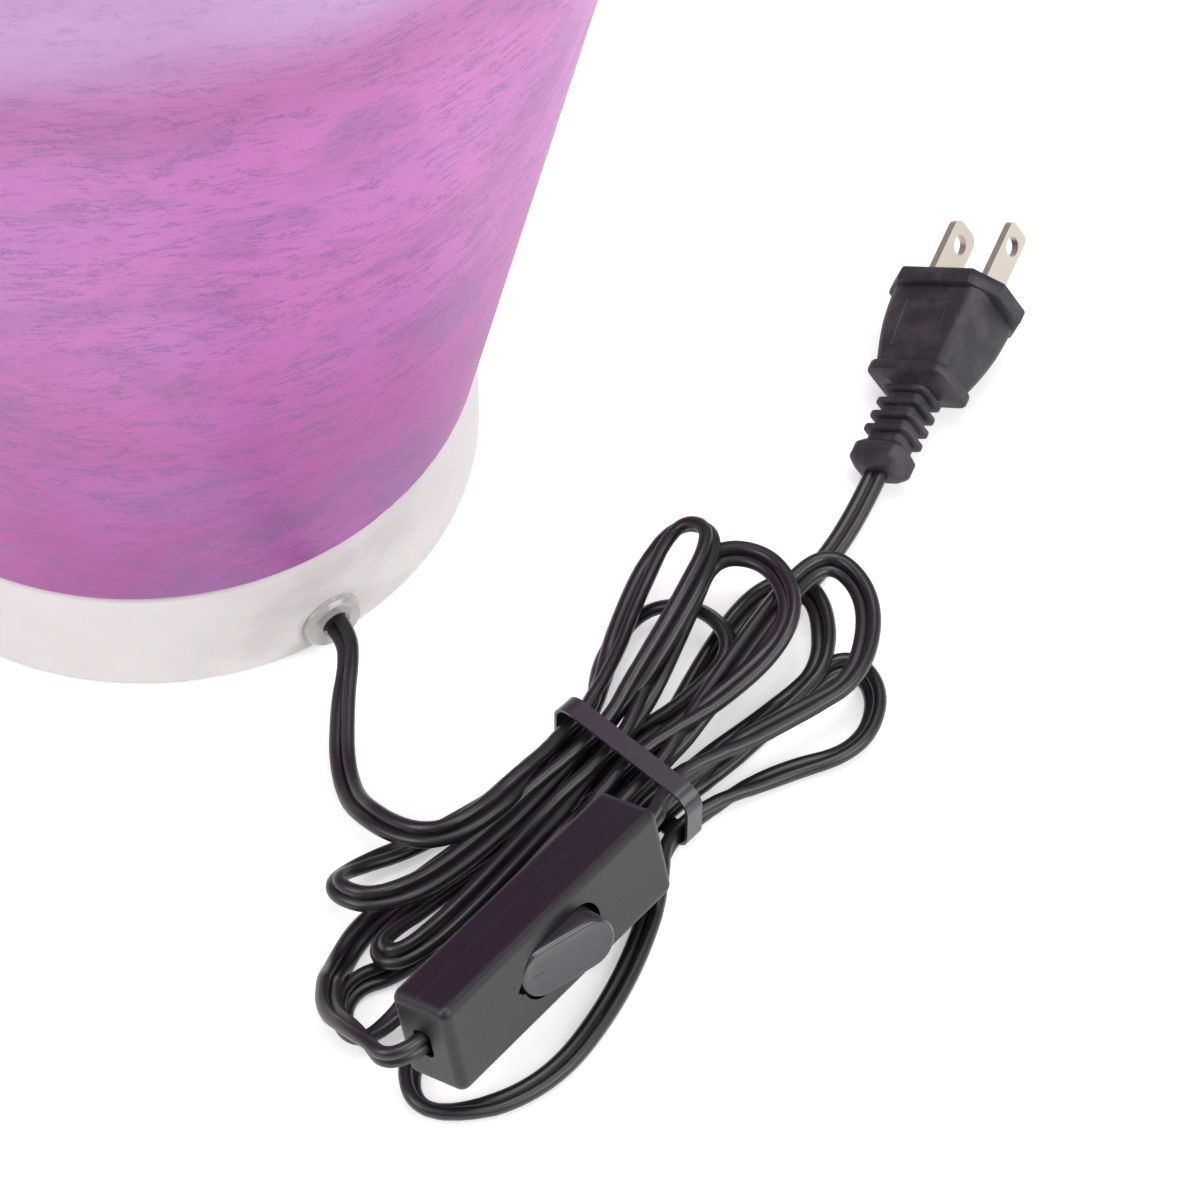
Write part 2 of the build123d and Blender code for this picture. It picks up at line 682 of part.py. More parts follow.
with BuildPart() as switch_cover_front:
    add(cover_half(1))
    with BuildSketch(switch.offset(SWITCH_T / 2)):
        SlotOverall(SLOT_L, SLOT_W)
        with Locations((-SLOT_L / 2, 0)):
            Rectangle(2 * SLOT_NOTCH, 2 * SLOT_NOTCH, rotation=45)
    extrude(amount=-SWITCH_WALL, mode=Mode.SUBTRACT)
    with BuildSketch(switch.offset(floor_in)):
        ear_y = SLOT_W / 2 + EAR_GAP + EAR / 2
        with Locations((0, ear_y), (0, -ear_y)):
            Rectangle(EAR_L, EAR)
    extrude(amount=-(floor_in - ROCKER_PIVOT + EAR_L / 2))
    with BuildSketch(side_of(switch)):
        with Locations((0, ROCKER_PIVOT)):
            Circle(PIN_R + SLIDE)
    extrude(amount=ear_y + EAR / 2, both=True, mode=Mode.SUBTRACT)
    with BuildSketch(switch.offset(SEAM)):
        with Locations((SCREW_X, 0), (-SCREW_X, 0)):
            Circle(SWITCH_SCREW_R + THREAD)
    extrude(amount=floor_in - SEAM - SCREW_SKIN, mode=Mode.SUBTRACT)
save(switch_cover_front, "switch_cover_front")

with BuildPart() as switch_cover_back:
    add(cover_half(-1))
    with BuildSketch(switch.offset(-floor_in)):
        with Locations((TERMINAL_X, TERMINAL_Y), (-TERMINAL_X, TERMINAL_Y)):
            Circle(SWITCH_SCREW_R + THREAD)
    extrude(amount=-SWITCH_WALL / 2, mode=Mode.SUBTRACT)
    with BuildSketch(switch.offset(-SWITCH_T / 2)):
        with Locations((SCREW_X, 0), (-SCREW_X, 0)):
            Circle(SWITCH_SCREW_R + SLIDE)
    extrude(amount=SWITCH_T / 2 + SEAM, mode=Mode.SUBTRACT)
    with BuildSketch(switch.offset(-SWITCH_T / 2)):
        with Locations((SCREW_X, 0), (-SCREW_X, 0)):
            Circle(SWITCH_SCREW_HEAD_R + SLIDE)
    extrude(amount=SWITCH_SCREW_HEAD + GAP, mode=Mode.SUBTRACT)
save(switch_cover_back, "switch_cover_back")

with BuildPart() as switch_screws:
    with BuildSketch(switch.offset(-SWITCH_T / 2 + GAP)):
        with Locations((SCREW_X, 0), (-SCREW_X, 0)):
            Circle(SWITCH_SCREW_HEAD_R)
    extrude(amount=SWITCH_SCREW_HEAD)
    with BuildSketch(switch.offset(-SWITCH_T / 2 + GAP)):
        with Locations((SCREW_X, 0), (-SCREW_X, 0)):
            Circle(SWITCH_SCREW_R)
    extrude(amount=SWITCH_SCREW_L)
    with BuildSketch(switch.offset(-SWITCH_T / 2 + GAP)):
        with Locations((SCREW_X, 0), (-SCREW_X, 0)):
            Rectangle(CROSS_L, CROSS_W)
            Rectangle(CROSS_W, CROSS_L)
    extrude(amount=SWITCH_SCREW_HEAD / 2, mode=Mode.SUBTRACT)
save(switch_screws, "switch_screws")

# Rocker: a dished boat on two pins, leaning to its pressed end
rocker_frame = tilted(switch, ROCKER_PIVOT, -ROCKER_REST)
with BuildPart() as rocker:
    with BuildSketch(rocker_frame.offset(-SLEEVE)):
        SlotOverall(ROCKER_L, ROCKER_W)
    extrude(amount=SLEEVE + ROCKER_END)
    with BuildSketch(side_of(rocker_frame)):
        with BuildLine():
            end_x = ROCKER_L / 2
            ThreePointArc((-end_x, ROCKER_END), (0, ROCKER_DIP), (end_x, ROCKER_END))
            Polyline((end_x, ROCKER_END), (end_x, ROCKER_SKIRT), (SLEEVE_R, -PIN_R),
                     (-SLEEVE_R, -PIN_R), (-end_x, ROCKER_SKIRT), (-end_x, ROCKER_END))
        make_face()
    extrude(amount=ROCKER_W, both=True, mode=Mode.INTERSECT)
    outward = Axis(rocker_frame.origin, rocker_frame.z_dir)
    fillet(rocker.faces().sort_by(outward)[-1].edges(), ROCKER_ROUND)
    with BuildSketch(side_of(rocker_frame)):
        Circle(PIN_R)
    extrude(amount=PIN_END, both=True)
    with BuildSketch(rocker_frame.offset(-SLEEVE)):
        Circle(SLEEVE_R)
    extrude(amount=SLEEVE)
    with BuildSketch(rocker_frame.offset(-SLEEVE)):
        Circle(PLUNGER_R + SLIDE)
    extrude(amount=SLEEVE + BORE_TOP, mode=Mode.SUBTRACT)
save(rocker, "rocker")

with BuildPart() as rocker_plunger:
    with BuildSketch(side_of(rocker_frame)):
        with BuildLine():
            knee = PLUNGER_TIP + PLUNGER_R
            Polyline((0, PLUNGER_TIP), (0, PLUNGER_TOP), (PLUNGER_R, PLUNGER_TOP),
                     (PLUNGER_R, knee))
            RadiusArc((PLUNGER_R, knee), (0, PLUNGER_TIP), PLUNGER_R)
        make_face()
    revolve(axis=Axis(rocker_frame.origin, rocker_frame.z_dir))
save(rocker_plunger, "rocker_plunger")

spring_low = PLUNGER_TOP + SPRING_WIRE / 2
spring_high = BORE_TOP - SPRING_WIRE / 2
spring_r = PLUNGER_R - SPRING_WIRE / 2 - THREAD
with BuildPart() as plunger_spring:
    with BuildLine(rocker_frame) as coil:
        Helix((spring_high - spring_low) / SPRING_TURNS, spring_high - spring_low, spring_r,
              center=(0, 0, spring_low), direction=rocker_frame.z_dir)
    with BuildSketch(Plane(origin=coil.line @ 0, z_dir=coil.line % 0)):
        Circle(SPRING_WIRE / 2)
    sweep()
save(plunger_spring, "plunger_spring")

# Contact lever, a see-saw in the notches of its brass bracket
lever_rest = -ROCKER_REST * LEVER_RATIO
lever_frame = tilted(switch, LEVER_PIVOT, lever_rest)
tab_y = LEVER_W / 2 + SLIDE
lug_y = tab_y + BRACKET_TAB + SLIDE
strip_low = -floor_in
with BuildPart() as contact_lever:
    with BuildSketch(lever_frame.offset(-LEVER / 2)):
        Rectangle(LEVER_L, LEVER_W)
        Rectangle(LEVER_LUG, 2 * lug_y)
    extrude(amount=LEVER)
    with BuildSketch(lever_frame.offset(-LEVER / 2)):
        with Locations((LEVER_L / 2 - CONTACT_IN, 0)):
            Circle(CONTACT_R)
    extrude(amount=-CONTACT_H)
save(contact_lever, "contact_lever")

with BuildPart() as pivot_contact:
    with BuildSketch(switch.offset(strip_low)):
        Rectangle(2 * LEVER_LUG, 2 * tab_y + 2 * BRACKET_TAB)
        with Locations((-TERMINAL_X / 2, TERMINAL_Y)):
            Rectangle(TERMINAL_X, STRIP_W)
        with Locations((-LEVER_LUG, TERMINAL_Y / 2)):
            Rectangle(2 * LEVER_LUG, TERMINAL_Y)
        with Locations((-TERMINAL_X, TERMINAL_Y)):
            Circle(POST_R)
            Circle(SWITCH_SCREW_R + SLIDE, mode=Mode.SUBTRACT)
    extrude(amount=STRIP)
    with BuildSketch(switch.offset(strip_low)):
        for side in (1, -1):
            with Locations((0, side * (tab_y + BRACKET_TAB / 2))):
                Rectangle(BRACKET_W, BRACKET_TAB)
    extrude(amount=LEVER_PIVOT + LEVER - strip_low)
    with BuildSketch(side_of(switch)):
        with Locations((0, LEVER_PIVOT + LEVER / 2)):
            Rectangle(LEVER_LUG + 3 * SLIDE, 2 * LEVER + 2 * SLIDE)
    extrude(amount=room_w / 2, both=True, mode=Mode.SUBTRACT)
save(pivot_contact, "pivot_contact")

with BuildPart() as fixed_contact:
    with BuildSketch(switch.offset(strip_low)):
        with Locations((LEVER_L / 2 - CONTACT_IN, (TERMINAL_Y - STRIP_W / 2) / 2)):
            Rectangle(2 * CONTACT_IN, TERMINAL_Y + STRIP_W / 2)
        with Locations(((LEVER_L / 2 + TERMINAL_X) / 2 - CONTACT_IN, TERMINAL_Y)):
            Rectangle(TERMINAL_X - LEVER_L / 2 + 2 * CONTACT_IN, STRIP_W)
        with Locations((TERMINAL_X, TERMINAL_Y)):
            Circle(POST_R)
            Circle(SWITCH_SCREW_R + SLIDE, mode=Mode.SUBTRACT)
    extrude(amount=STRIP)
save(fixed_contact, "fixed_contact")

head_z = LEAD_Z + WIRE_D / 2
with BuildPart() as switch_terminal_screws:
    with BuildSketch(switch.offset(head_z)):
        with Locations((TERMINAL_X, TERMINAL_Y), (-TERMINAL_X, TERMINAL_Y)):
            Circle(POST_R)
    extrude(amount=TERMINAL_CAP)
    with BuildSketch(switch.offset(head_z)):
        with Locations((TERMINAL_X, TERMINAL_Y), (-TERMINAL_X, TERMINAL_Y)):
            Circle(SWITCH_SCREW_R)
    extrude(amount=-(head_z + floor_in + SWITCH_WALL / 2))
    with BuildSketch(switch.offset(head_z + TERMINAL_CAP)):
        with Locations((TERMINAL_X, TERMINAL_Y), (-TERMINAL_X, TERMINAL_Y)):
            Rectangle(2 * POST_R, CROSS_W)
    extrude(amount=-TERMINAL_CAP / 2, mode=Mode.SUBTRACT)
save(switch_terminal_screws, "switch_terminal_screws")


def in_switch(x, y, z):
    """Point of the switch's frame in the lamp's frame"""
    return switch.from_local_coords(Vector(x, y, z))


def lead_in(end, side):
    """Way of one conductor from a cord's end down beside the mechanism"""
    return [in_switch(end * x, side * y, z) for x, y, z in
            [(cord_end, WIRE_APART / 2, SEAM), (cord_end - LEAD_STEP, WIRE_APART / 2, SEAM),
             (SCREW_X + LEAD_STEP, TERMINAL_Y, LEAD_Z)]]


lead_stop = TERMINAL_X + SWITCH_SCREW_R + SLIDE
switch_leads = wires(
    [lead_in(end, 1) + [in_switch(end * lead_stop, TERMINAL_Y, LEAD_Z)] for end in (1, -1)]
    + [lead_in(-1, -1) + lead_in(1, -1)[::-1]])
save(switch_leads, "switch_leads")

# Plug, in its own frame: x across the blades, z the way that they point
plug = frame_at(PLUG_AT, PLUG_SIDE, PLUG_OUT)
grip_back = -FLANGE_T - GRIP_L
shoulder_back = grip_back - SHOULDER_L
core_top = shoulder_back - (SHOULDER[0] - SHOULDER_BACK[0]) / 2
collar_top = -PLUG_L + COLLAR_L


def grip_outline(front, back):
    """Outline of the grip between flange and shoulder, its two sides drawn in a little"""
    middle = (front + back) / 2 - GRIP_DIP
    for side in (1, -1):
        ThreePointArc((side * front, -FLANGE_T), (side * middle, (grip_back - FLANGE_T) / 2),
                      (side * back, grip_back))
    Line((front, -FLANGE_T), (-front, -FLANGE_T))
    Line((back, grip_back), (-back, grip_back))


with BuildPart() as grip:
    with BuildSketch(side_of(plug)):
        with BuildLine():
            grip_outline(GRIP_FRONT[0], GRIP_BACK[0])
        make_face()
    extrude(amount=FLANGE_W, both=True)
    with BuildSketch(end_of(plug, 0)):
        with BuildLine():
            grip_outline(GRIP_FRONT[1], GRIP_BACK[1])
        make_face()
    extrude(amount=FLANGE_W, both=True, mode=Mode.INTERSECT)
    lengthwise = [e for e in grip.edges() if abs(e.tangent_at(0.5).dot(plug.z_dir)) > 0.5]
    fillet(lengthwise, GRIP_ROUND)
    lean = (GRIP_FRONT[1] - GRIP_BACK[1]) / GRIP_L
    for side in (1, -1):
        panel_y = side * ((GRIP_FRONT[1] + GRIP_BACK[1]) / 2 - GRIP_DIP - PANEL_DEPTH)
        panel_at = plug.origin + plug.z_dir * (grip_back - FLANGE_T) / 2 + plug.y_dir * panel_y
        panel = Plane(origin=panel_at, x_dir=plug.x_dir,
                      z_dir=plug.y_dir * side - plug.z_dir * lean)
        with BuildSketch(panel):
            RectangleRounded(PANEL, PANEL, PANEL_ROUND)
        extrude(amount=GRIP_L, mode=Mode.SUBTRACT)

with BuildPart() as plug_body:
    with BuildSketch(plug):
        flange = Rectangle(FLANGE_W, FLANGE_H)
        chamfer(flange.vertices(), FLANGE_CUT)
    extrude(amount=-FLANGE_T)
    fillet(plug_body.edges().filter_by(Axis(plug.origin, plug.z_dir)), FLANGE_ROUND)
    add(grip.part)
    with BuildSketch(plug.offset(grip_back)):
        RectangleRounded(2 * SHOULDER[0], 2 * SHOULDER[1], SHOULDER_ROUND)
    extrude(amount=-SHOULDER_L)
    with BuildSketch(plug.offset(shoulder_back)):
        RectangleRounded(2 * SHOULDER[0], 2 * SHOULDER[1], SHOULDER_ROUND)
    with BuildSketch(plug.offset(core_top)):
        RectangleRounded(2 * SHOULDER_BACK[0], 2 * SHOULDER_BACK[1], SHOULDER_ROUND)
    loft()
    with BuildSketch(plug.offset(core_top)):
        RectangleRounded(2 * NECK_CORE[0], 2 * NECK_CORE[1], NECK_ROUND)
    extrude(amount=collar_top - core_top)
    for step in range(PLUG_RIBS):
        with BuildSketch(plug.offset(core_top - RIB_PITCH * (step + 0.5))):
            RectangleRounded(2 * RIB_HALF[0], 2 * RIB_HALF[1], SHOULDER_ROUND)
        extrude(amount=-RIB_T)
    with BuildSketch(plug.offset(collar_top)):
        RectangleRounded(2 * COLLAR[0], 2 * COLLAR[1], NECK_ROUND)
    extrude(amount=-COLLAR_L / 2)
    with BuildSketch(plug.offset(collar_top - COLLAR_L / 2)):
        RectangleRounded(2 * COLLAR[0], 2 * COLLAR[1], NECK_ROUND)
    with BuildSketch(plug.offset(-PLUG_L)):
        RectangleRounded(2 * COLLAR_BACK[0], 2 * COLLAR_BACK[1], NECK_ROUND)
    loft()
    with BuildSketch(plug):
        with Locations((BLADE_APART / 2, 0), (-BLADE_APART / 2, 0)):
            Rectangle(BLADE_T, BLADE_W)
    extrude(amount=-BLADE_IN, mode=Mode.SUBTRACT)
save(plug_body, "plug_body")


def blade(x, width, neck, tip_r):
    """Flat blade with its hole; the wide one has a neck at the plug's face"""
    with BuildPart() as piece:
        with BuildSketch(end_of(plug, x)):
            with Locations((0, (neck + BLADE_L) / 2)):
                head = Rectangle(width, BLADE_L - neck)
            fillet(head.vertices().group_by(Axis.Y)[-1], tip_r)
            with Locations((0, (neck - BLADE_IN) / 2)):
                Rectangle(BLADE_W, neck + BLADE_IN)
            with Locations((0, BLADE_HOLE)):
                Circle(BLADE_HOLE_R, mode=Mode.SUBTRACT)
        extrude(amount=BLADE_T / 2, both=True)
    return piece


save(blade(BLADE_APART / 2, BLADE_W, 0, BLADE_TIP_R), "blade_hot")
save(blade(-BLADE_APART / 2, NEUTRAL_W, NEUTRAL_NECK, NEUTRAL_TIP_R), "blade_neutral")

# Cords: places at the waist, loops out from it and free stretches, in the lamp's frame
bundle = Vector(*HANK_AT)
hank_along = unit(HANK_ANGLE)
hank_across = unit(HANK_ANGLE + 90)


def slot(place, side, z=None):
    """Point on the near (-1) or far (1) side of the tie, for a row height and a column"""
    row, column = place
    level = bundle + hank_along * side * WAIST + hank_across * (MIDDLE - column) * PITCH
    return level + Vector(0, 0, row if z is None else z)


def loop(start, end, side, angle, reach, half, turn, lift=0.0, back=8.0):
    """Points of one loop out from a place at the waist and back, anticlockwise where turn is 1"""
    out = unit(angle)
    across = unit(angle - 90 * turn)
    tip = bundle + out * (reach - half)
    z_out = Vector(0, 0, start[0] - LOOP_DROP)
    z_back = Vector(0, 0, end[0] - LOOP_DROP)
    rise = Vector(0, 0, lift)
    return [slot(start, side),
            tip + across * NECK * half - out * back + z_out + rise * NECK,
            tip + across * half + out * half + z_out + rise,
            tip - across * half + out * half + (z_out + z_back) / 2 + rise,
            tip - across * NECK * half - out * back + z_back + rise * NECK,
            slot(end, side)]


def at_switch(x):
    """Point on the cord's way through an end of the switch"""
    return in_switch(x, 0, SEAM)


plug_end = plug.origin - plug.z_dir * PLUG_L
lamp_lead = [grommet_face, grommet_face + gland.z_dir * CORD_D, Vector(39.6, -62.5, 7.4),
             Vector(38.4, -70.5, 6.2), Vector(38.0, -83.0, 4.6), Vector(43.5, -95.5, 8.0),
             Vector(53.5, -102.5, 11.4), Vector(65.0, -97.5, 11.0)]
lamp_hank = [slot((HIGH, 1), -1)]
lamp_hank += loop((HIGH, 1), (HIGH, 2), 1, 76.4, 55.5, 5.0, -1, lift=4.5)
lamp_hank += loop((HIGH, 2), (LOW, 1), -1, 208, 61, 8.5, -1, lift=2.4, back=10)
lamp_hank += loop((LOW, 1), (LOW, 2), 1, 73, 45, 5.6, -1)
lamp_hank += [slot((LOW, 2), -1)]
switch_lead = [Vector(63.8, -100.2, 3), Vector(50.4, -112.2, 3), Vector(41.5, -121, 3),
               Vector(38, -132, 7), Vector(38, -143.5, 13), Vector(43.5, -152, 20),
               at_switch(-half_l - STRAIGHT[0]), at_switch(-cord_end)]

plug_hank = [at_switch(cord_end), at_switch(half_l + STRAIGHT[1]), Vector(98.4, -98.2, 13.4)]
plug_hank += [slot((HIGH, 6.1), 1, 11.8)]
plug_hank += loop((HIGH, 6.1), (HIGH, 5), 1, 38, 61.5, 8.4, 1, lift=1)[1:]
plug_hank += [slot((HIGH, 5), -1), Vector(79, -115.5, 7.8), Vector(66, -132, 3),
              Vector(51.5, -146, 3), Vector(54.5, -160.5, 3), Vector(77, -154, 3),
              Vector(91, -133, 3), Vector(98.5, -110, 3), slot((LOW, 7), -1)]
plug_hank += loop((LOW, 7), (LOW, 6), 1, 21.6, 50.5, 6.6, 1)
plug_hank += loop((LOW, 6), (LOW, 5), -1, 254, 38, 4.3, -1)
plug_hank += loop((LOW, 5), (LOW, 4), 1, 42.7, 55, 6, 1)
plug_hank += loop((LOW, 4), (HIGH, 4), -1, 228.6, 71, 6, 1)
plug_hank += loop((HIGH, 4), (HIGH, 3), 1, 59.1, 57.5, 7.3, 1, lift=1.5)
plug_hank += loop((HIGH, 3), (LOW, 3), -1, 220.1, 49, 5, -1, lift=-0.4)
plug_hank += [slot((LOW, 3), 1)]
plug_lead = [Vector(104.5, -67, 3), Vector(116.5, -53, 3), Vector(128.5, -38.5, 3),
             plug_end - plug.z_dir * STRAIGHT[2], plug_end]

lamp_meet = (lamp_lead[-1] + lamp_hank[0]) / 2
switch_meet = (lamp_hank[-1] + switch_lead[0]) / 2
plug_meet = (plug_hank[-1] + plug_lead[0]) / 2
stretches = {
    "cord_lead_lamp": lamp_lead + [lamp_meet],
    "cord_hank_lamp": [lamp_meet] + lamp_hank + [switch_meet],
    "cord_lead_switch": [switch_meet] + switch_lead,
    "cord_hank_plug": plug_hank + [plug_meet],
    "cord_lead_plug": [plug_meet] + plug_lead,
}
paths = []
for name, corners in stretches.items():
    piece, path = tube(corners, CORD_D)
    save(piece, name)
    paths.append(path)


def least_gap(chain, step=1.0, apart=16.0):
    """Least room between two turns of a cord, on points a step apart along its stretches"""
    points = []
    for path in chain:
        count = round(path.length / step)
        points += [tuple(path @ (i / count)) for i in range(count)]
    skip = round(apart / step)
    return min(dist(a, b) for i, a in enumerate(points) for b in points[i + skip:]) - CORD_D


print(f"least gap of the lamp's cord to itself {least_gap(paths[:3]):.2f},",
      f"of the plug's cord {least_gap(paths[3:]):.2f}")

# Tie: a flat band round the waist
tie_plane = Plane(origin=bundle, x_dir=hank_across, z_dir=hank_along)
with BuildPart() as cord_tie:
    with BuildSketch(tie_plane.offset(-TIE_W / 2)):
        with Locations((0, tie_plane.y_dir.Z * (TIE_LOW + TIE_HIGH) / 2)):
            RectangleRounded(2 * TIE_HALF + 2 * TIE_T, TIE_HIGH - TIE_LOW + 2 * TIE_T, TIE_ROUND)
            RectangleRounded(2 * TIE_HALF, TIE_HIGH - TIE_LOW, TIE_ROUND - TIE_T,
                             mode=Mode.SUBTRACT)
    extrude(amount=TIE_W)
save(cord_tie, "cord_tie")
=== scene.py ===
from math import asin, atan, cos, pi, radians, sin

import bmesh
import bpy
from bpy.props import FloatProperty, FloatVectorProperty, PointerProperty
from mathutils import Matrix, Vector


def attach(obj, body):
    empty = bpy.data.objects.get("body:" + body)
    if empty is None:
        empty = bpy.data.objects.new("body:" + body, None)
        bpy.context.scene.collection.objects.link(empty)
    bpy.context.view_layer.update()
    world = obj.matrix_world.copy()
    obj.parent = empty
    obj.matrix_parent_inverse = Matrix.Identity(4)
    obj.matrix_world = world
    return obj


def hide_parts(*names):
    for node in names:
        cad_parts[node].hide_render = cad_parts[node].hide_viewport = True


bl_info = {
    "name": "Accent lamp",
    "version": (1, 0, 0),
    "blender": (4, 5, 0),
    "location": "View3D > Sidebar > Accent Lamp",
    "description": "Dresses the solids of an art glass accent lamp with its cord, switch and plug",
    "category": "Object",
}

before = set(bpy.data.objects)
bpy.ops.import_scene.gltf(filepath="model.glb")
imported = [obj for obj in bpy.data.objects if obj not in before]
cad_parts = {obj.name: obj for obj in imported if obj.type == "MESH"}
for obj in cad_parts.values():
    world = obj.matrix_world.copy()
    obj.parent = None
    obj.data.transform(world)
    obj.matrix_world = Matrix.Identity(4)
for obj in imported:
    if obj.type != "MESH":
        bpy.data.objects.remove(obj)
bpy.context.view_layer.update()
MM = 0.001

# Places and directions of the free pieces, in the lamp's frame, in millimetres
CORD_WAY_OUT = -55.5  # direction in which the cord leaves the base, in degrees from +X
BASE_R = 63.5
GLAND_Z = 7.8
GROMMET_OUT = 1.8
SWITCH_AT = (75.4, -132.9, 20.5)
SWITCH_ALONG = (0.612, 0.783, -0.110)
SWITCH_FACE = (0.771, -0.561, 0.301)
SWITCH_HALF = 31.0
SEAM = -0.6  # the covers' parting line, from the switch's middle
CORD_END = 25.0  # the cords' ends in the switch, from its middle
PLUG_AT = (158.5, 22.5, 12.9)
PLUG_SIDE = (0.773, -0.419, 0.476)
PLUG_OUT = (0.400, 0.905, 0.147)
CORD_IN = 43.0  # the cord's end in the plug's collar, behind its face

# Hank: loops drawn in side by side at the waist, in two rows
HANK_AT = (92.5, -87.7)
HANK_ANGLE = 47.0
LOW = 3.5  # heights of the two rows
HIGH = 9.3
PITCH = 4.6  # between columns
MIDDLE = 4  # the column in the hank's middle
WAIST = 5.0  # the places at the waist, from the middle of the tie
STRAIGHT = (8.0, 6.0, 10.0)  # straight cord out of the switch's two ends and the plug

# Camera, solved from the base's rim and the floor, in metres and degrees
CAMERA_AT = (0.0873, -0.6849, 0.8926)
CAMERA_TILT = 35.74
CAMERA_LENS = 171.0  # on a sensor 36 mm wide
LIGHTS = (("right", (0.9, -0.55, 0.7), 0.8, 8.8), ("left", (-0.9, -0.5, 0.9), 0.8, 8.8),
          ("over", (0.1, 0.1, 1.5), 0.9, 13.0))  # name, place, size in metres and watts
LIT_SPOT = (0.06, -0.06, 0.06)
FLOOR_LIFT = 0.45  # what the floor needs beside its own light to be seen as white


def srgb(code):
    """Linear colour of an sRGB hex value"""
    shares = [int(code[i:i + 2], 16) / 255 for i in (0, 2, 4)]
    linear = [c / 12.92 if c <= 0.04045 else ((c + 0.055) / 1.055) ** 2.4 for c in shares]
    return (*linear, 1.0)


def colour(name, description, code):
    """Colour setting with its default as an sRGB hex value"""
    return FloatVectorProperty(name=name, description=description, subtype="COLOR", size=4,
                               min=0.0, max=1.0, default=srgb(code))


class ACCENTLAMP_PG_glass(bpy.types.PropertyGroup):
    """Colours and streaks of the vessel"""
    upper: colour("Upper ground", "Glass colour over most of the side", "b96cae")
    lower: colour("Lower ground", "Deeper glass colour near the foot", "a34793")
    lilac: colour("Lilac", "Cooler tint that drifts through the ground", "aa72ba")
    rose: colour("Rose band", "Warmer band below the shoulder", "ac64a0")
    # The shoulder colour is a painted reflection of the overhead light, paler where the side turns
    # up towards it
    shoulder: colour("Shoulder", "Paler glass where the side turns in", "b797c4")
    streak: colour("Streaks", "Crushed colour drawn into streaks", "695382")
    tilt: FloatProperty(name="Tilt", description="Lean of the streaks towards the front",
                        subtype="ANGLE", default=radians(14))
    # The glow is painted: emission in the glass's own colours that stands in for the light from
    # inside and evens out the shading
    glow: FloatProperty(name="Glow", description="Light that comes through from inside",
                        min=0.0, max=1.0, default=0.16)


class ACCENTLAMP_PG_base(bpy.types.PropertyGroup):
    """Colours of the base and the grommet"""
    frost: colour("Frosted glass", "Milky colour of the base", "e8e3e2")
    # Faint random clouds all over, and painted shade round the cord's way out where the cord
    # inside would show through the wall
    cloud_and_cord_shade: colour("Smudges", "Greyer cloud round the cord's way out", "cdc7c7")
    vinyl: colour("Grommet", "Clear vinyl of the grommet", "e6e1de")


class ACCENTLAMP_PG_cord(bpy.types.PropertyGroup):
    """Section and colour of the flat twin cord"""
    width: FloatProperty(name="Width", description="Width of the flat cord", subtype="DISTANCE",
                         min=0.003, max=0.008, default=0.0053)
    thickness: FloatProperty(name="Thickness", description="Thickness over one conductor",
                             subtype="DISTANCE", min=0.002, max=0.004, default=0.0027)
    web: FloatProperty(name="Web", description="Thickness between the conductors",
                       subtype="DISTANCE", min=0.0003, max=0.002, default=0.0007)
    sheath: colour("Sheath", "Black vinyl of the cord", "18151a")
    tie: colour("Tie", "Black vinyl of the tie", "2e2b31")


class ACCENTLAMP_PG_switch(bpy.types.PropertyGroup):
    """Colours and grain of the switch and the plug"""
    shell: colour("Covers", "Textured plastic of the covers", "130e16")
    rocker: colour("Rocker", "Polished plastic of the rocker", "312e34")
    plug: colour("Plug", "Moulded vinyl of the plug", "211d24")
    blade: colour("Blades", "Nickel plating of the blades", "c9c0b5")
    grain: FloatProperty(name="Grain", description="Size of the covers' moulded texture, in mm",
                         min=0.1, max=1.0, default=0.35)


class ACCENTLAMP_PG_settings(bpy.types.PropertyGroup):
    """All settings of the lamp"""
    glass: PointerProperty(type=ACCENTLAMP_PG_glass)
    base: PointerProperty(type=ACCENTLAMP_PG_base)
    cord: PointerProperty(type=ACCENTLAMP_PG_cord)
    switch: PointerProperty(type=ACCENTLAMP_PG_switch)


def add_node(tree, kind, inputs=None, **settings):
    """Adds a node, sets its properties and fills its sockets: with values, or with links from
    other nodes' sockets or, where a whole node is given, from its first open output"""
    node = tree.nodes.new(kind)
    for name, value in settings.items():
        setattr(node, name, value)
    for name, value in (inputs or {}).items():
        if isinstance(value, bpy.types.Node):
            value = next(socket for socket in value.outputs if socket.enabled)
        if isinstance(value, bpy.types.NodeSocket):
            tree.links.new(value, node.inputs[name])
        else:
            node.inputs[name].default_value = value
    return node


def start_material(name):
    """Empty material with its node tree and its object coordinates"""
    material = bpy.data.materials.new(name)
    material.use_nodes = True
    tree = material.node_tree
    tree.nodes.clear()
    return material, tree, add_node(tree, "ShaderNodeTexCoord").outputs["Object"]


def end_material(tree, inputs):
    """Joins the surface's shader to the material's output"""
    shader = add_node(tree, "ShaderNodeBsdfPrincipled", inputs)
    add_node(tree, "ShaderNodeOutputMaterial", {"Surface": shader})


def grains(tree, place, along, across, detail=3.0, rough=0.55, wisp=0.0):
    """Noise whose grains are so long level and so high upright, in millimetres"""
    scaled = add_node(tree, "ShaderNodeMapping", {
        "Vector": place, "Scale": (1 / (along * MM), 1 / (along * MM), 1 / (across * MM))})
    return add_node(tree, "ShaderNodeTexNoise", {
        "Vector": scaled, "Scale": 1.0, "Detail": detail, "Roughness": rough, "Distortion": wisp})


def patches(tree, place, along, across, low, high, **noise):
    """Soft patches of such grains: 0 where the noise is under a low level, 1 over a high one"""
    return add_node(tree, "ShaderNodeMapRange", {
        "Value": grains(tree, place, along, across, **noise), "From Min": low, "From Max": high},
        interpolation_type="SMOOTHSTEP")


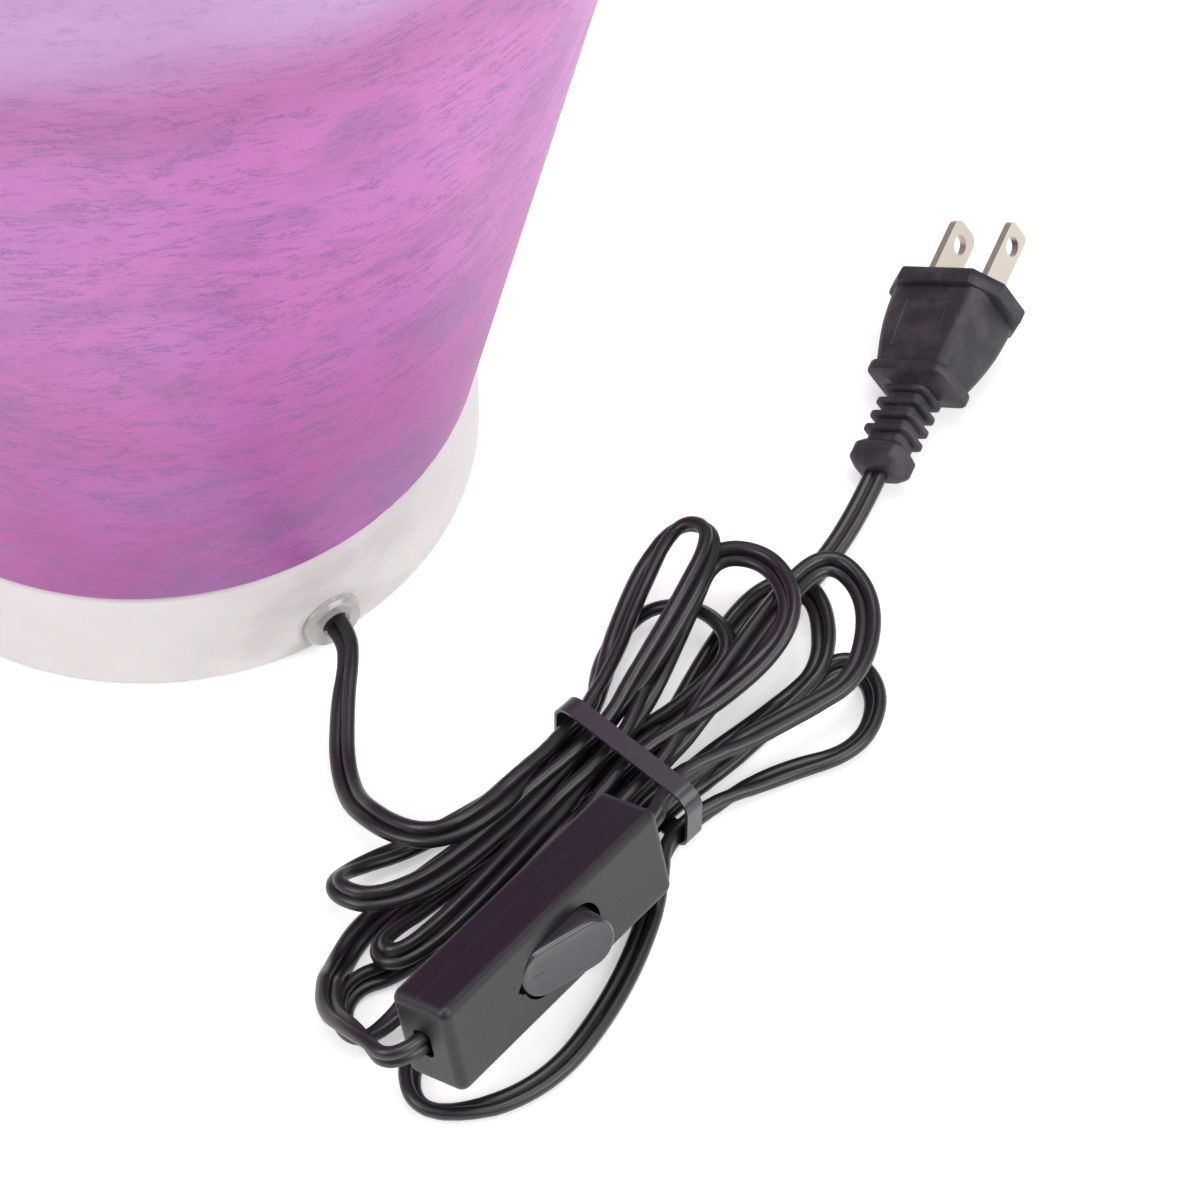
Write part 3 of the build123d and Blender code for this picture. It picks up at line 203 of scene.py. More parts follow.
def zone(tree, place, start, full):
    """Soft step up the object, from 0 at one height to 1 at another, in millimetres"""
    height = add_node(tree, "ShaderNodeSeparateXYZ", {"Vector": place}).outputs["Z"]
    return add_node(tree, "ShaderNodeMapRange", {
        "Value": height, "From Min": start * MM, "From Max": full * MM},
        interpolation_type="SMOOTHSTEP")


def band(tree, place, matrix, axis, at, half, soft=0.08):
    """1 within half a width of a plane across one axis of a piece's own frame, in mm"""
    way = matrix.col[axis].to_3d()
    middle = (matrix.translation.dot(way) + at) * MM
    along = add_node(tree, "ShaderNodeVectorMath", {0: place, 1: tuple(way)},
                     operation="DOT_PRODUCT")
    gap = add_node(tree, "ShaderNodeMath", {0: along, 1: middle}, operation="SUBTRACT")
    off = add_node(tree, "ShaderNodeMath", {0: gap}, operation="ABSOLUTE")
    return add_node(tree, "ShaderNodeMapRange", {
        "Value": off, "From Min": (half + soft) * MM, "From Max": half * MM},
        interpolation_type="SMOOTHSTEP")


def strongest(tree, *marks):
    """The strongest of several marks, each the product of its own masks and strength"""
    top = 0.0
    for masks in marks:
        mark = 1.0
        for mask in masks:
            mark = add_node(tree, "ShaderNodeMath", {0: mark, 1: mask}, operation="MULTIPLY")
        top = add_node(tree, "ShaderNodeMath", {0: top, 1: mark}, operation="MAXIMUM")
    return top


def laid_over(tree, ground, colour, *masks):
    """Ground with a colour laid over it where all of its masks let it show"""
    shown = masks[0]
    for mask in masks[1:]:
        shown = add_node(tree, "ShaderNodeMath", {0: shown, 1: mask}, operation="MULTIPLY")
    # A Mix node has its two inputs once for each type, and those for colours are 6 and 7
    return add_node(tree, "ShaderNodeMix", {0: shown, 6: ground, 7: colour}, data_type="RGBA")


def grained(name, base, size, depth, rough, vary=0.1, along=None, **sockets):
    """Material whose shade, gloss and height follow one grain, its size and depth in mm"""
    material, tree, place = start_material(name)
    grain = grains(tree, place, along or size, size)
    dark = tuple(c * (1 - vary) for c in base[:3]) + (1.0,)
    light = tuple(min(1.0, c * (1 + vary)) for c in base[:3]) + (1.0,)
    gloss = add_node(tree, "ShaderNodeMapRange", {
        "Value": grain, "To Min": rough * 0.85, "To Max": min(1.0, rough * 1.15)})
    bump = add_node(tree, "ShaderNodeBump", {"Strength": 1.0, "Distance": depth * MM,
                                             "Height": grain})
    inputs = {"Base Color": laid_over(tree, dark, light, grain), "Roughness": gloss,
              "Normal": bump}
    inputs.update({key.replace("_", " "): value for key, value in sockets.items()})
    end_material(tree, inputs)
    return material


# Zones of the vessel: heights, in mm, where a tint starts and where it is full
DEEP_FOOT = (160, 45)
ROSE_BAND = (192, 208)
# Painted reflection of the overhead light on the shoulder
SHOULDER_REFLECTION = (210, 236)
FAINT_MARKS = (208, 232)
THREADS = ((0.5, (11, 5)), (0.44, (8, 4)))  # level of each net of threads, and its patches' size


def art_glass(look):
    """Blown soda glass with crushed colour rolled into its skin, then etched satin: a soft
    sheen, short streaks drawn round the vessel, a painted reflection on the shoulder, and a
    painted glow that stands in for the light coming through from inside"""
    material, tree, place = start_material("streaked satin art glass")
    tilted = add_node(tree, "ShaderNodeMapping", {"Vector": place, "Rotation": (look.tilt, 0, 0)})
    drift = add_node(tree, "ShaderNodeTexNoise", {"Vector": tilted, "Scale": 1 / (45 * MM),
                                                  "Detail": 1.0})
    centred = add_node(tree, "ShaderNodeVectorMath", {0: drift.outputs["Color"],
                                                      1: (0.5, 0.5, 0.5)}, operation="SUBTRACT")
    flow = add_node(tree, "ShaderNodeVectorMath", {0: centred, 1: (14 * MM,) * 3, 2: tilted},
                    operation="MULTIPLY_ADD")
    ground = laid_over(tree, look.upper, look.lower, zone(tree, place, *DEEP_FOOT))
    ground = laid_over(tree, ground, look.lilac, patches(tree, flow, 50, 35, 0.4, 0.7), 0.32)
    ground = laid_over(tree, ground, look.rose, zone(tree, place, *ROSE_BAND))
    # Painted reflection of the overhead light, in pale patches over the shoulder
    pale = add_node(tree, "ShaderNodeMath", {0: patches(tree, flow, 40, 22, 0.34, 0.68),
                                             1: 0.3, 2: 0.7}, operation="MULTIPLY_ADD")
    ground = laid_over(tree, ground, look.shoulder, zone(tree, place, *SHOULDER_REFLECTION), pale)

    # Streaks, threads, blotches and mist of the crushed colour, and where each gathers
    fine = grains(tree, flow, 5.0, 0.7, detail=8, rough=0.75, wisp=0.5)
    streaks = add_node(tree, "ShaderNodeMapRange", {"Value": fine, "From Min": 0.545,
                                                    "From Max": 0.585},
                       interpolation_type="SMOOTHSTEP")
    gathers = patches(tree, flow, 30, 18, 0.5, 0.66)
    blotches = patches(tree, flow, 2.4, 1.3, 0.49, 0.56, detail=7, rough=0.78)
    marks = [(streaks, patches(tree, flow, 16, 6, 0.42, 0.58), 0.5), (blotches, gathers, 0.55),
             (gathers, 0.28)]
    vein = grains(tree, flow, 10, 2.0, detail=9, rough=0.68, wisp=0.3)
    for level, size in THREADS:
        off = add_node(tree, "ShaderNodeMath", {0: vein, 1: level}, operation="SUBTRACT")
        off = add_node(tree, "ShaderNodeMath", {0: off}, operation="ABSOLUTE")
        line = add_node(tree, "ShaderNodeMapRange", {"Value": off, "From Min": 0.024,
                                                     "From Max": 0.009},
                        interpolation_type="SMOOTHSTEP")
        marks.append((line, patches(tree, flow, *size, 0.46, 0.6), 0.75))

    height = add_node(tree, "ShaderNodeSeparateXYZ", {"Vector": place}).outputs["Z"]
    fading = add_node(tree, "ShaderNodeMapRange", {
        "Value": height, "From Min": FAINT_MARKS[0] * MM, "From Max": FAINT_MARKS[1] * MM,
        "To Min": 1.0, "To Max": 0.35})
    shade = laid_over(tree, ground, look.streak, strongest(tree, *marks), fading)
    bump = add_node(tree, "ShaderNodeBump", {"Strength": 0.5, "Distance": 0.06 * MM,
                                             "Height": fine})
    # Painted glow: the glass emits its own colours, standing in for light from inside
    end_material(tree, {"Base Color": shade, "Roughness": 0.42, "IOR": 1.5,
                        "Specular IOR Level": 0.22, "Normal": bump, "Emission Color": shade,
                        "Emission Strength": look.glow})
    return material


def frosted_glass(look):
    """Pressed glass etched milky: no clear reflections, faint clouds, and painted shade round the
    cord where it would show through the wall
    """
    material, tree, place = start_material("frosted pressed glass")
    away = add_node(tree, "ShaderNodeVectorMath", {0: place, 1: tuple(gland_point(0))},
                    operation="DISTANCE")
    near = add_node(tree, "ShaderNodeMapRange", {"Value": away, "From Min": 40 * MM,
                                                 "From Max": 8 * MM},
                    interpolation_type="SMOOTHSTEP")
    faint = patches(tree, place, 16, 10, 0.3, 0.8, detail=2)
    clouds = patches(tree, place, 16, 10, 0.35, 0.7, detail=2)
    haze = laid_over(tree, look.frost, look.cloud_and_cord_shade, faint, 0.12)
    bump = add_node(tree, "ShaderNodeBump", {"Strength": 0.4, "Distance": 0.05 * MM,
                                             "Height": grains(tree, place, 1.2, 1.2)})
    # Painted shade round the cord's way out, standing in for the cord inside seen through the
    # frosted wall
    end_material(tree, {"Base Color": laid_over(tree, haze, look.cloud_and_cord_shade, near, clouds, 0.6),
                        "Roughness": 0.48, "IOR": 1.5, "Subsurface Weight": 0.35,
                        "Subsurface Scale": 3 * MM, "Normal": bump})
    return material


def cover_plastic(look):
    """Spark-textured ABS with the parting line of the two covers: a fine even grain that
    scatters the light, and a thin groove round the middle with painted shade in it"""
    material, tree, place = start_material("spark-textured ABS")
    grain = grains(tree, place, look.grain, look.grain, detail=2)
    groove = band(tree, place, switch, 2, SEAM, 0.12)
    level = add_node(tree, "ShaderNodeMath", {0: groove, 1: -3.0, 2: grain},
                     operation="MULTIPLY_ADD")
    bump = add_node(tree, "ShaderNodeBump", {"Strength": 1.0, "Distance": 0.05 * MM,
                                             "Height": level})
    gloss = add_node(tree, "ShaderNodeMapRange", {"Value": grain, "To Min": 0.34, "To Max": 0.5})
    # Painted shade: the groove is coloured near black where shade falls in the parting line
    end_material(tree, {"Base Color": laid_over(tree, look.shell, srgb("050406"), groove, 0.85),
                        "Roughness": gloss, "IOR": 1.5, "Normal": bump})
    return material


def rocker_plastic(look):
    """Polished ABS with a moulded dash at the pressed end: clear soft reflections"""
    material, tree, place = start_material("polished ABS")
    dash = add_node(tree, "ShaderNodeMath", {0: band(tree, place, switch, 0, -7.0, 1.1),
                                             1: band(tree, place, switch, 1, 0.0, 0.16)},
                    operation="MULTIPLY")
    bump = add_node(tree, "ShaderNodeBump", {"Strength": 1.0, "Distance": 0.2 * MM,
                                             "Height": dash})
    end_material(tree, {"Base Color": laid_over(tree, look.rocker, srgb("0a090b"), dash, 0.8),
                        "Roughness": 0.16, "IOR": 1.5, "Coat Weight": 0.3, "Coat Roughness": 0.05,
                        "Normal": bump})
    return material


def plug_vinyl(look):
    """Matte moulded vinyl: dusty dark skin with a shallow sunk square on each broad side"""
    material, tree, place = start_material("matte moulded vinyl")
    grain = grains(tree, place, 0.6, 0.6, detail=4)
    sunk = add_node(tree, "ShaderNodeMath", {
        0: band(tree, place, plug, 0, 0.0, PANEL[0] / 2, 0.5),
        1: band(tree, place, plug, 2, PANEL_AT, PANEL[1] / 2, 0.5)}, operation="MULTIPLY")
    level = add_node(tree, "ShaderNodeMath", {0: sunk, 1: -4.0, 2: grain},
                     operation="MULTIPLY_ADD")
    bump = add_node(tree, "ShaderNodeBump", {"Strength": 1.0, "Distance": 0.06 * MM,
                                             "Height": level})
    dust = grains(tree, place, 6, 6, detail=5)
    dusty = add_node(tree, "ShaderNodeMapRange", {"Value": dust, "From Min": 0.42,
                                                  "From Max": 0.72},
                     interpolation_type="SMOOTHSTEP")
    gloss = add_node(tree, "ShaderNodeMapRange", {"Value": dust, "To Min": 0.45, "To Max": 0.65})
    end_material(tree, {"Base Color": laid_over(tree, look.plug, srgb("5a525b"), dusty, 0.38),
                        "Roughness": gloss, "IOR": 1.5, "Normal": bump})
    return material


def cord_vinyl(look):
    """Extruded soft vinyl: even black with a silky sheen and faint lines along the pull"""
    material, tree, _ = start_material("extruded black vinyl")
    lines = add_node(tree, "ShaderNodeMapping", {
        "Vector": add_node(tree, "ShaderNodeUVMap", uv_map="pull"), "Scale": (60.0, 9.0, 1.0)})
    pull = add_node(tree, "ShaderNodeTexNoise", {"Vector": lines, "Scale": 1.0, "Detail": 2.0})
    bump = add_node(tree, "ShaderNodeBump", {"Strength": 0.5, "Distance": 0.05 * MM,
                                             "Height": pull})
    gloss = add_node(tree, "ShaderNodeMapRange", {"Value": pull, "To Min": 0.3, "To Max": 0.42})
    end_material(tree, {"Base Color": look.sheath, "Roughness": gloss, "IOR": 1.53,
                        "Normal": bump})
    return material


def dress(material, *nodes):
    """Gives CAD nodes a material"""
    for name in nodes:
        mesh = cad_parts[name].data
        mesh.materials.clear()
        mesh.materials.append(material)


def finished(name, bm, material, body, nodes=(), smooth=35):
    """Turns a bmesh into a piece that rides on a body and stands for CAD nodes"""
    mesh = bpy.data.meshes.new(name)
    bm.to_mesh(mesh)
    bm.free()
    mesh.materials.append(material)
    mesh.shade_smooth()
    mesh.set_sharp_from_angle(angle=radians(smooth))
    piece = bpy.data.objects.new(name, mesh)
    bpy.context.scene.collection.objects.link(piece)
    if nodes:
        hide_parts(*nodes)
    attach(piece, body)
    return piece


def frame_at(place, along, face):
    """Matrix of a piece's own frame: z out of its face, x along it, in millimetres"""
    z = Vector(face).normalized()
    y = z.cross(Vector(along)).normalized()
    matrix = Matrix((y.cross(z), y, z)).transposed().to_4x4()
    matrix.translation = Vector(place)
    return matrix


switch = frame_at(SWITCH_AT, SWITCH_ALONG, SWITCH_FACE)
plug = frame_at(PLUG_AT, PLUG_SIDE, PLUG_OUT)


def unit(angle):
    """Level unit vector at an angle from +X"""
    return Vector((cos(radians(angle)), sin(radians(angle)), 0))


def gland_point(out):
    """Point on the cord's way out of the base, in metres, so far out of the wall in mm"""
    return (unit(CORD_WAY_OUT) * (BASE_R + out) + Vector((0, 0, GLAND_Z))) * MM


def slot_at(place, side, z=None):
    """Point on the near (-1) or far (1) side of the tie, for a row height and a column"""
    row, column = place
    level = Vector((*HANK_AT, 0)) + unit(HANK_ANGLE) * side * WAIST
    level += unit(HANK_ANGLE + 90) * (MIDDLE - column) * PITCH
    return level + Vector((0, 0, row if z is None else z))


# Loops of the hank, laid over the photograph: points between two places at the waist
FIRST_REST = ((38.5, -70.5, 6.2), (38.6, -84.1, 4.6), (43.2, -97.8, 8), (55.5, -106.2, 12),
              (66.9, -100.3, 13))
TALL_LOOP = ((93.8, -48.1, 11), (101.8, -35.2, 16), (110.1, -40.5, 20), (103.1, -57.4, 19))
LEFT_LOOP = ((60.7, -110.3, 9.5), (46.2, -119.5, 11.2), (37.2, -114.4, 9), (41.3, -106.7, 6),
             (55.6, -99.2, 4.7))
SMALL_LOOP = ((88.4, -55.5, 5), (96.8, -48.4, 7.5), (108.6, -51.4, 9), (113.5, -61.9, 9),
              (104.3, -72.4, 7.5))
WIDE_LOOP = ((124.9, -76, 10.5), (136.3, -68.6, 11), (139.4, -51.2, 12), (131.3, -40.2, 12.5),
             (121.1, -51.5, 12.5))
LOW_LOOP = ((121.1, -83.9, 3), (136.4, -79.4, 3), (141.0, -66.3, 3), (134.1, -56.9, 3),
            (120.5, -70.9, 3))
MIDDLE_LOOP = ((123.3, -68.4, 5.5), (130.6, -60.5, 7), (129.1, -44, 7), (119.5, -42.5, 6.5),
               (109.2, -56.3, 6))
UNDER_LOOP = ((51.4, -127.4, 3), (40.8, -131.4, 3), (39.8, -141.4, 4.6), (45.4, -144.6, 6),
              (55.4, -134.8, 8))
ROUND_LOOP = ((117.4, -68.4, 14), (124.5, -57.6, 17), (120.2, -44.9, 17), (108.6, -42.3, 16),
              (103.6, -53.5, 12))
LAST_LOOP = ((65.2, -116.8, 11), (53.2, -128.6, 9.3), (47.6, -129.2, 8.2), (46.6, -123.8, 7),
             (56.9, -112.1, 5.5))
SHORT_LOOP = ((88.4, -113.3, 3), (87.6, -123, 3), (82.2, -127, 3), (77.4, -121.5, 3),
              (82.4, -111.6, 3))


def held(start, points, end, side):
    """A loop's points with its two places in the tie, on the near (-1) or far (1) side"""
    return [slot_at(start, side), *points, slot_at(end, side)]


def lamp_route():
    """Cord from the base through its loops of the hank to the switch, in millimetres"""
    out = unit(CORD_WAY_OUT)
    face = gland_point(GROMMET_OUT) / MM
    points = [face, face + out * 3.75, (39.6, -62.5, 7.4), *FIRST_REST, slot_at((HIGH, 1), -1)]
    points += held((HIGH, 1), TALL_LOOP, (HIGH, 2), 1)
    points += held((HIGH, 2), LEFT_LOOP, (LOW, 1), -1)
    points += held((LOW, 1), SMALL_LOOP, (LOW, 2), 1)
    points += [slot_at((LOW, 2), -1), (63.8, -100.2, 3), (50.4, -112.2, 3), (41.5, -121, 3),
               (38, -132, 7), (38, -143.5, 13), (43.5, -152, 20)]
    points += [switch @ Vector((x, 0, SEAM)) for x in (-SWITCH_HALF - STRAIGHT[0], -CORD_END)]
    return [Vector(p) for p in points]


def plug_route():
    """Cord from the switch through its loops of the hank to the plug, in millimetres"""
    points = [switch @ Vector((x, 0, SEAM)) for x in (CORD_END, SWITCH_HALF + STRAIGHT[1])]
    points += [(98.4, -98.2, 13.4), slot_at((HIGH, 6.1), 1, 11.8), *WIDE_LOOP,
               slot_at((HIGH, 5), 1)]
    points += [slot_at((HIGH, 5), -1), (79, -115.5, 7.8), (66, -132, 3), (51.5, -146, 3),
               (54.5, -160.5, 3), (77, -154, 3), (91, -133, 3), (98.5, -110, 3),
               slot_at((LOW, 7), -1)]
    points += held((LOW, 7), LOW_LOOP, (LOW, 6), 1)
    points += held((LOW, 6), SHORT_LOOP, (LOW, 5), -1)
    points += held((LOW, 5), MIDDLE_LOOP, (LOW, 4), 1)
    points += held((LOW, 4), UNDER_LOOP, (HIGH, 4), -1)
    points += held((HIGH, 4), ROUND_LOOP, (HIGH, 3), 1)
    points += held((HIGH, 3), LAST_LOOP, (LOW, 3), -1)
    end = plug @ Vector((0, 0, -CORD_IN))
    points += [slot_at((LOW, 3), 1), (104.5, -67, 3), (116.5, -53, 3), (128.5, -38.5, 3),
               end - plug.col[2].to_3d() * STRAIGHT[2], end]
    return [Vector(p) for p in points]


def spline_points(name, corners, resolution=14):
    """Points of the smooth line through a route, in metres, as its NURBS spline gives them"""
    curve = bpy.data.curves.new(name, "CURVE")
    curve.dimensions = "3D"
    curve.resolution_u = resolution
    spline = curve.splines.new("NURBS")
    spline.points.add(len(corners) - 1)
    for point, corner in zip(spline.points, corners):
        point.co = (*(corner * MM), 1.0)
    spline.order_u = 3
    spline.use_endpoint_u = True
    line = bpy.data.objects.new(name, curve)
    bpy.context.scene.collection.objects.link(line)
    bpy.context.view_layer.update()
    mesh = bpy.data.meshes.new_from_object(line)
    points = [v.co.copy() for v in mesh.vertices]
    bpy.data.objects.remove(line)
    bpy.data.curves.remove(curve)
    bpy.data.meshes.remove(mesh)
    return points


ARC_STEPS = 8  # facets round each conductor's side of the section
TURN_OVER = 34 * MM  # length over which the cord turns away from its ends' way
LEAN = 66  # degrees by which the cord's width leans over from upright in a free run
FIRST_LEAN = 84 * MM  # length of the first lead, which leans the other way up to the tie
GROMMET_WIDE = Vector((0.47, 0.32, 0.82))  # way that the cord's width lies in the grommet
TIP_LEAN = 0.45  # share of that lean left where the cord bends tightest
TIP_BEND = (0.03, 0.10)  # bends, in radians per mm, where a tip starts and where it is full
BEND_SPAN = 3  # points on each side over which a bend is measured
TIED_ALONG = (7, 17)  # distances from the tie, in mm, where its hold starts to fade and ends
TIED_ACROSS = (20, 26)
SPREAD = 7 * MM  # length over which a twist is evened out
ON_FLOOR = (3.6, 8.6)  # heights, in mm, up to which a cord is let down to the floor, and less
FLOOR_GAP = 0.05  # room left under it


def twin_section(look):
    """Outline of the flat twin cord: two round ribs and the web between them"""
    radius = look.thickness / 2
    centre = look.width / 2 - radius
    start = pi - asin(look.web / look.thickness)
    outline = []
    for side in (1, -1):
        for step in range(ARC_STEPS + 1):
            angle = -start + 2 * start * step / ARC_STEPS
            outline.append((side * (centre + radius * cos(angle)), side * radius * sin(angle)))
    return outline


def smooth(value, start=0.0, full=1.0):
    """Soft step from 0 at one value to 1 at another"""
    value = min(1.0, max(0.0, (value - start) / (full - start)))
    return value * value * (3 - 2 * value)


def heading(path, step):
    """Direction of a line of points at one of them"""
    return (path[min(step + 1, len(path) - 1)] - path[max(step - 1, 0)]).normalized()


def roll_of(way, ahead):
    """Roll about the cord's heading that takes upright to a way, no more than a quarter turn"""
    upright = (Vector((0, 0, 1)) - ahead * ahead.z).normalized()
    side = ahead.cross(upright)
    return atan(way.dot(side) / way.dot(upright))


def leans(path, marks, first_way, last_way, turned):
    """Roll of the flat cord at each point: leaning over in free runs, nearly upright at the tips
    of loops, where it bends about its thin side, upright in the tie and turned at its two ends"""
    first = roll_of(first_way, heading(path, 0))
    last = roll_of(last_way, heading(path, len(path) - 1))
    raw = []
    waist = Vector((*HANK_AT, 0)) * MM
    for step, point in enumerate(path):
        before, after = max(step - BEND_SPAN, 0), min(step + BEND_SPAN, len(path) - 1)
        turn = heading(path, before).angle(heading(path, after))
        bend = turn / max(marks[after] - marks[before], MM) * MM
        tip = smooth(bend, *TIP_BEND)
        away = abs((point - waist).dot(unit(HANK_ANGLE))) / MM
        aside = abs((point - waist).dot(unit(HANK_ANGLE + 90))) / MM
        tied = (1 - smooth(away, *TIED_ALONG)) * (1 - smooth(aside, *TIED_ACROSS))
        side = -1 if marks[step] < turned else 1
        raw.append(side * radians(LEAN) * (1 - (1 - TIP_LEAN) * tip) * (1 - tied))
    rolls = []
    for step in range(len(path)):
        near = [r for r, mark in zip(raw, marks) if abs(mark - marks[step]) < SPREAD]
        roll = sum(near) / len(near)
        roll += (first - roll) * (1 - smooth(marks[step] / TURN_OVER))
        rolls.append(roll + (last - roll) * (1 - smooth((marks[-1] - marks[step]) / TURN_OVER)))
    return rolls


def twin_cord(name, corners, first_way, last_way, turned, look, material, nodes):
    """Flat twin cord along a route. Its width lies along the given ways at its two ends, and
    leans between them. It is made as a straight length, which is then laid along the line"""
    path = spline_points(name, corners)
    marks = [0.0]
    for a, b in zip(path, path[1:]):
        marks.append(marks[-1] + (b - a).length)
    bm = bmesh.new()
    section = twin_section(look)
    count = len(section)
    ring = [bm.verts.new((0, y, z)) for y, z in section]
    edges = [bm.edges.new((ring[i - 1], ring[i])) for i in range(count)]
    made = bmesh.ops.extrude_edge_only(bm, edges=edges)
    far = [g for g in made["geom"] if isinstance(g, bmesh.types.BMVert)]
    bmesh.ops.translate(bm, verts=far, vec=(len(path) - 1, 0, 0))
    rails = [e for e in bm.edges if abs(e.verts[0].co.x - e.verts[1].co.x) > 0.5]
    bmesh.ops.subdivide_edges(bm, edges=rails, cuts=len(path) - 2, use_grid_fill=True)
    bmesh.ops.holes_fill(bm, edges=[e for e in bm.edges if e.is_boundary], sides=0)
    uv = bm.loops.layers.uv.new("pull")
    across = {(round(y, 6), round(z, 6)): i / count for i, (y, z) in enumerate(section)}
    for face in bm.faces:
        for corner in face.loops:
            place = corner.vert.co
            step = min(len(path) - 1, round(place.x))
            corner[uv].uv = (across[round(place.y, 6), round(place.z, 6)], marks[step] * 10)
    frames = []
    rolls = leans(path, marks, first_way, last_way, turned)
    for step, point in enumerate(path):
        ahead = heading(path, step)
        upright = (Vector((0, 0, 1)) - ahead * ahead.z).normalized()
        wide = Matrix.Rotation(rolls[step], 3, ahead) @ upright
        low = 1 - smooth(point.z / MM, *ON_FLOOR)
        half = look.thickness / 2 + (look.width - look.thickness) / 2 * abs(wide.z)
        rest = max(0.0, point.z - half - FLOOR_GAP * MM)
        calm = smooth(min(marks[step], marks[-1] - marks[step]) / TURN_OVER)
        frames.append((point - Vector((0, 0, rest * low * calm)), wide, ahead.cross(wide)))
    for vert in bm.verts:
        point, wide, thin = frames[min(len(path) - 1, round(vert.co.x))]
        vert.co = point + wide * vert.co.y + thin * vert.co.z
    bmesh.ops.recalc_face_normals(bm, faces=bm.faces)
    cord = finished(name, bm, material, "lamp", nodes, smooth=50)
    return cord, path, marks[-1]


class ACCENTLAMP_OT_stage(bpy.types.Operator):
    """Sets up the camera, the pale floor and the soft studio light"""
    bl_idname = "accent_lamp.stage"
    bl_label = "Stage"

    def execute(self, context):
        scene = context.scene
        scene.view_settings.view_transform = "Standard"
        camera = bpy.data.objects.new("camera", bpy.data.cameras.new("camera"))
        camera.data.lens = CAMERA_LENS
        camera.data.sensor_width = 36.0
        camera.data.clip_end = 20.0
        camera.location = CAMERA_AT
        camera.rotation_euler = (radians(CAMERA_TILT), 0, 0)
        scene.collection.objects.link(camera)
        scene.camera = camera
        for name, place, size, power in LIGHTS:
            light = bpy.data.lights.new(name, "AREA")
            light.size = size
            light.energy = power
            lamp = bpy.data.objects.new(name, light)
            lamp.location = place
            aim = Vector(LIT_SPOT) - Vector(place)
            lamp.rotation_euler = aim.to_track_quat("-Z", "Y").to_euler()
            scene.collection.objects.link(lamp)
        self.floor(scene)
        self.world(scene)
        return {"FINISHED"}

    def floor(self, scene):
        """Smooth matt paper that the camera sees as white, with the lamp's own soft shadow"""
        bm = bmesh.new()
        bmesh.ops.create_grid(bm, x_segments=1, y_segments=1, size=4.0)
        mesh = bpy.data.meshes.new("floor")
        bm.to_mesh(mesh)
        bm.free()
        floor = bpy.data.objects.new("floor", mesh)
        scene.collection.objects.link(floor)
        material, tree, _ = start_material("pale paper floor")
        ray = add_node(tree, "ShaderNodeLightPath")
        seen = add_node(tree, "ShaderNodeMath", {0: ray.outputs["Is Camera Ray"],
                                                 1: ray.outputs["Is Glossy Ray"]}, operation="ADD")
        seen = add_node(tree, "ShaderNodeMath", {0: seen, 1: ray.outputs["Is Transmission Ray"]},
                        operation="ADD")
        lift = add_node(tree, "ShaderNodeMath", {0: seen, 1: FLOOR_LIFT}, operation="MULTIPLY")
        paper = add_node(tree, "ShaderNodeBsdfDiffuse", {"Color": (0.8, 0.8, 0.8, 1)})
        glow = add_node(tree, "ShaderNodeEmission", {"Strength": lift})
        both = add_node(tree, "ShaderNodeAddShader", {0: paper, 1: glow})
        add_node(tree, "ShaderNodeOutputMaterial", {"Surface": both})
        mesh.materials.append(material)

    def world(self, scene):
        """Even soft light, white where it is seen directly"""
        world = bpy.data.worlds.new("studio")
        world.use_nodes = True
        tree = world.node_tree
        tree.nodes.clear()
        ray = add_node(tree, "ShaderNodeLightPath")
        way = add_node(tree, "ShaderNodeTexCoord").outputs["Generated"]
        up = add_node(tree, "ShaderNodeSeparateXYZ", {"Vector": way}).outputs["Z"]
        soft = add_node(tree, "ShaderNodeMapRange", {"Value": up, "From Min": 0.1, "From Max": 0.9,
                                                     "To Min": 0.2, "To Max": 0.54})
        level = add_node(tree, "ShaderNodeMix", {0: ray.outputs["Is Camera Ray"], 2: soft, 3: 1.0})
        sky = add_node(tree, "ShaderNodeBackground", {"Color": (1, 1, 1, 1), "Strength": level})
        add_node(tree, "ShaderNodeOutputWorld", {"Surface": sky})
        scene.world = world


class ACCENTLAMP_OT_cords(bpy.types.Operator):
    """Lays the two lengths of flat twin cord through the hank"""
    bl_idname = "accent_lamp.cords"
    bl_label = "Cords"

    def execute(self, context):
        look = context.scene.accent_lamp.cord
        vinyl = cord_vinyl(look)
        across = switch.col[1].to_3d()
        cord, path, length = twin_cord(
            "cord_lamp_to_switch", lamp_route(), GROMMET_WIDE, across, FIRST_LEAN, look, vinyl,
            ("cord_lead_lamp", "cord_hank_lamp", "cord_lead_switch"))
        cord, path, length = twin_cord(
            "cord_switch_to_plug", plug_route(), across, plug.col[0].to_3d(), 0, look, vinyl,
            ("cord_hank_plug", "cord_lead_plug"))
        # Shiny flat strip, its highlight soft and hardly broken by the mould's marks
        dress(grained("moulded vinyl tie", look.tie, 1.5, 0.02, 0.34, IOR=1.5, Coat_Weight=0.2),
              "cord_tie")
        return {"FINISHED"}


class ACCENTLAMP_OT_vessel(bpy.types.Operator):
    """Gives the vessel its streaked satin glass"""
    bl_idname = "accent_lamp.vessel"
    bl_label = "Vessel"

    def execute(self, context):
        dress(art_glass(context.scene.accent_lamp.glass), "glass_body")
        return {"FINISHED"}


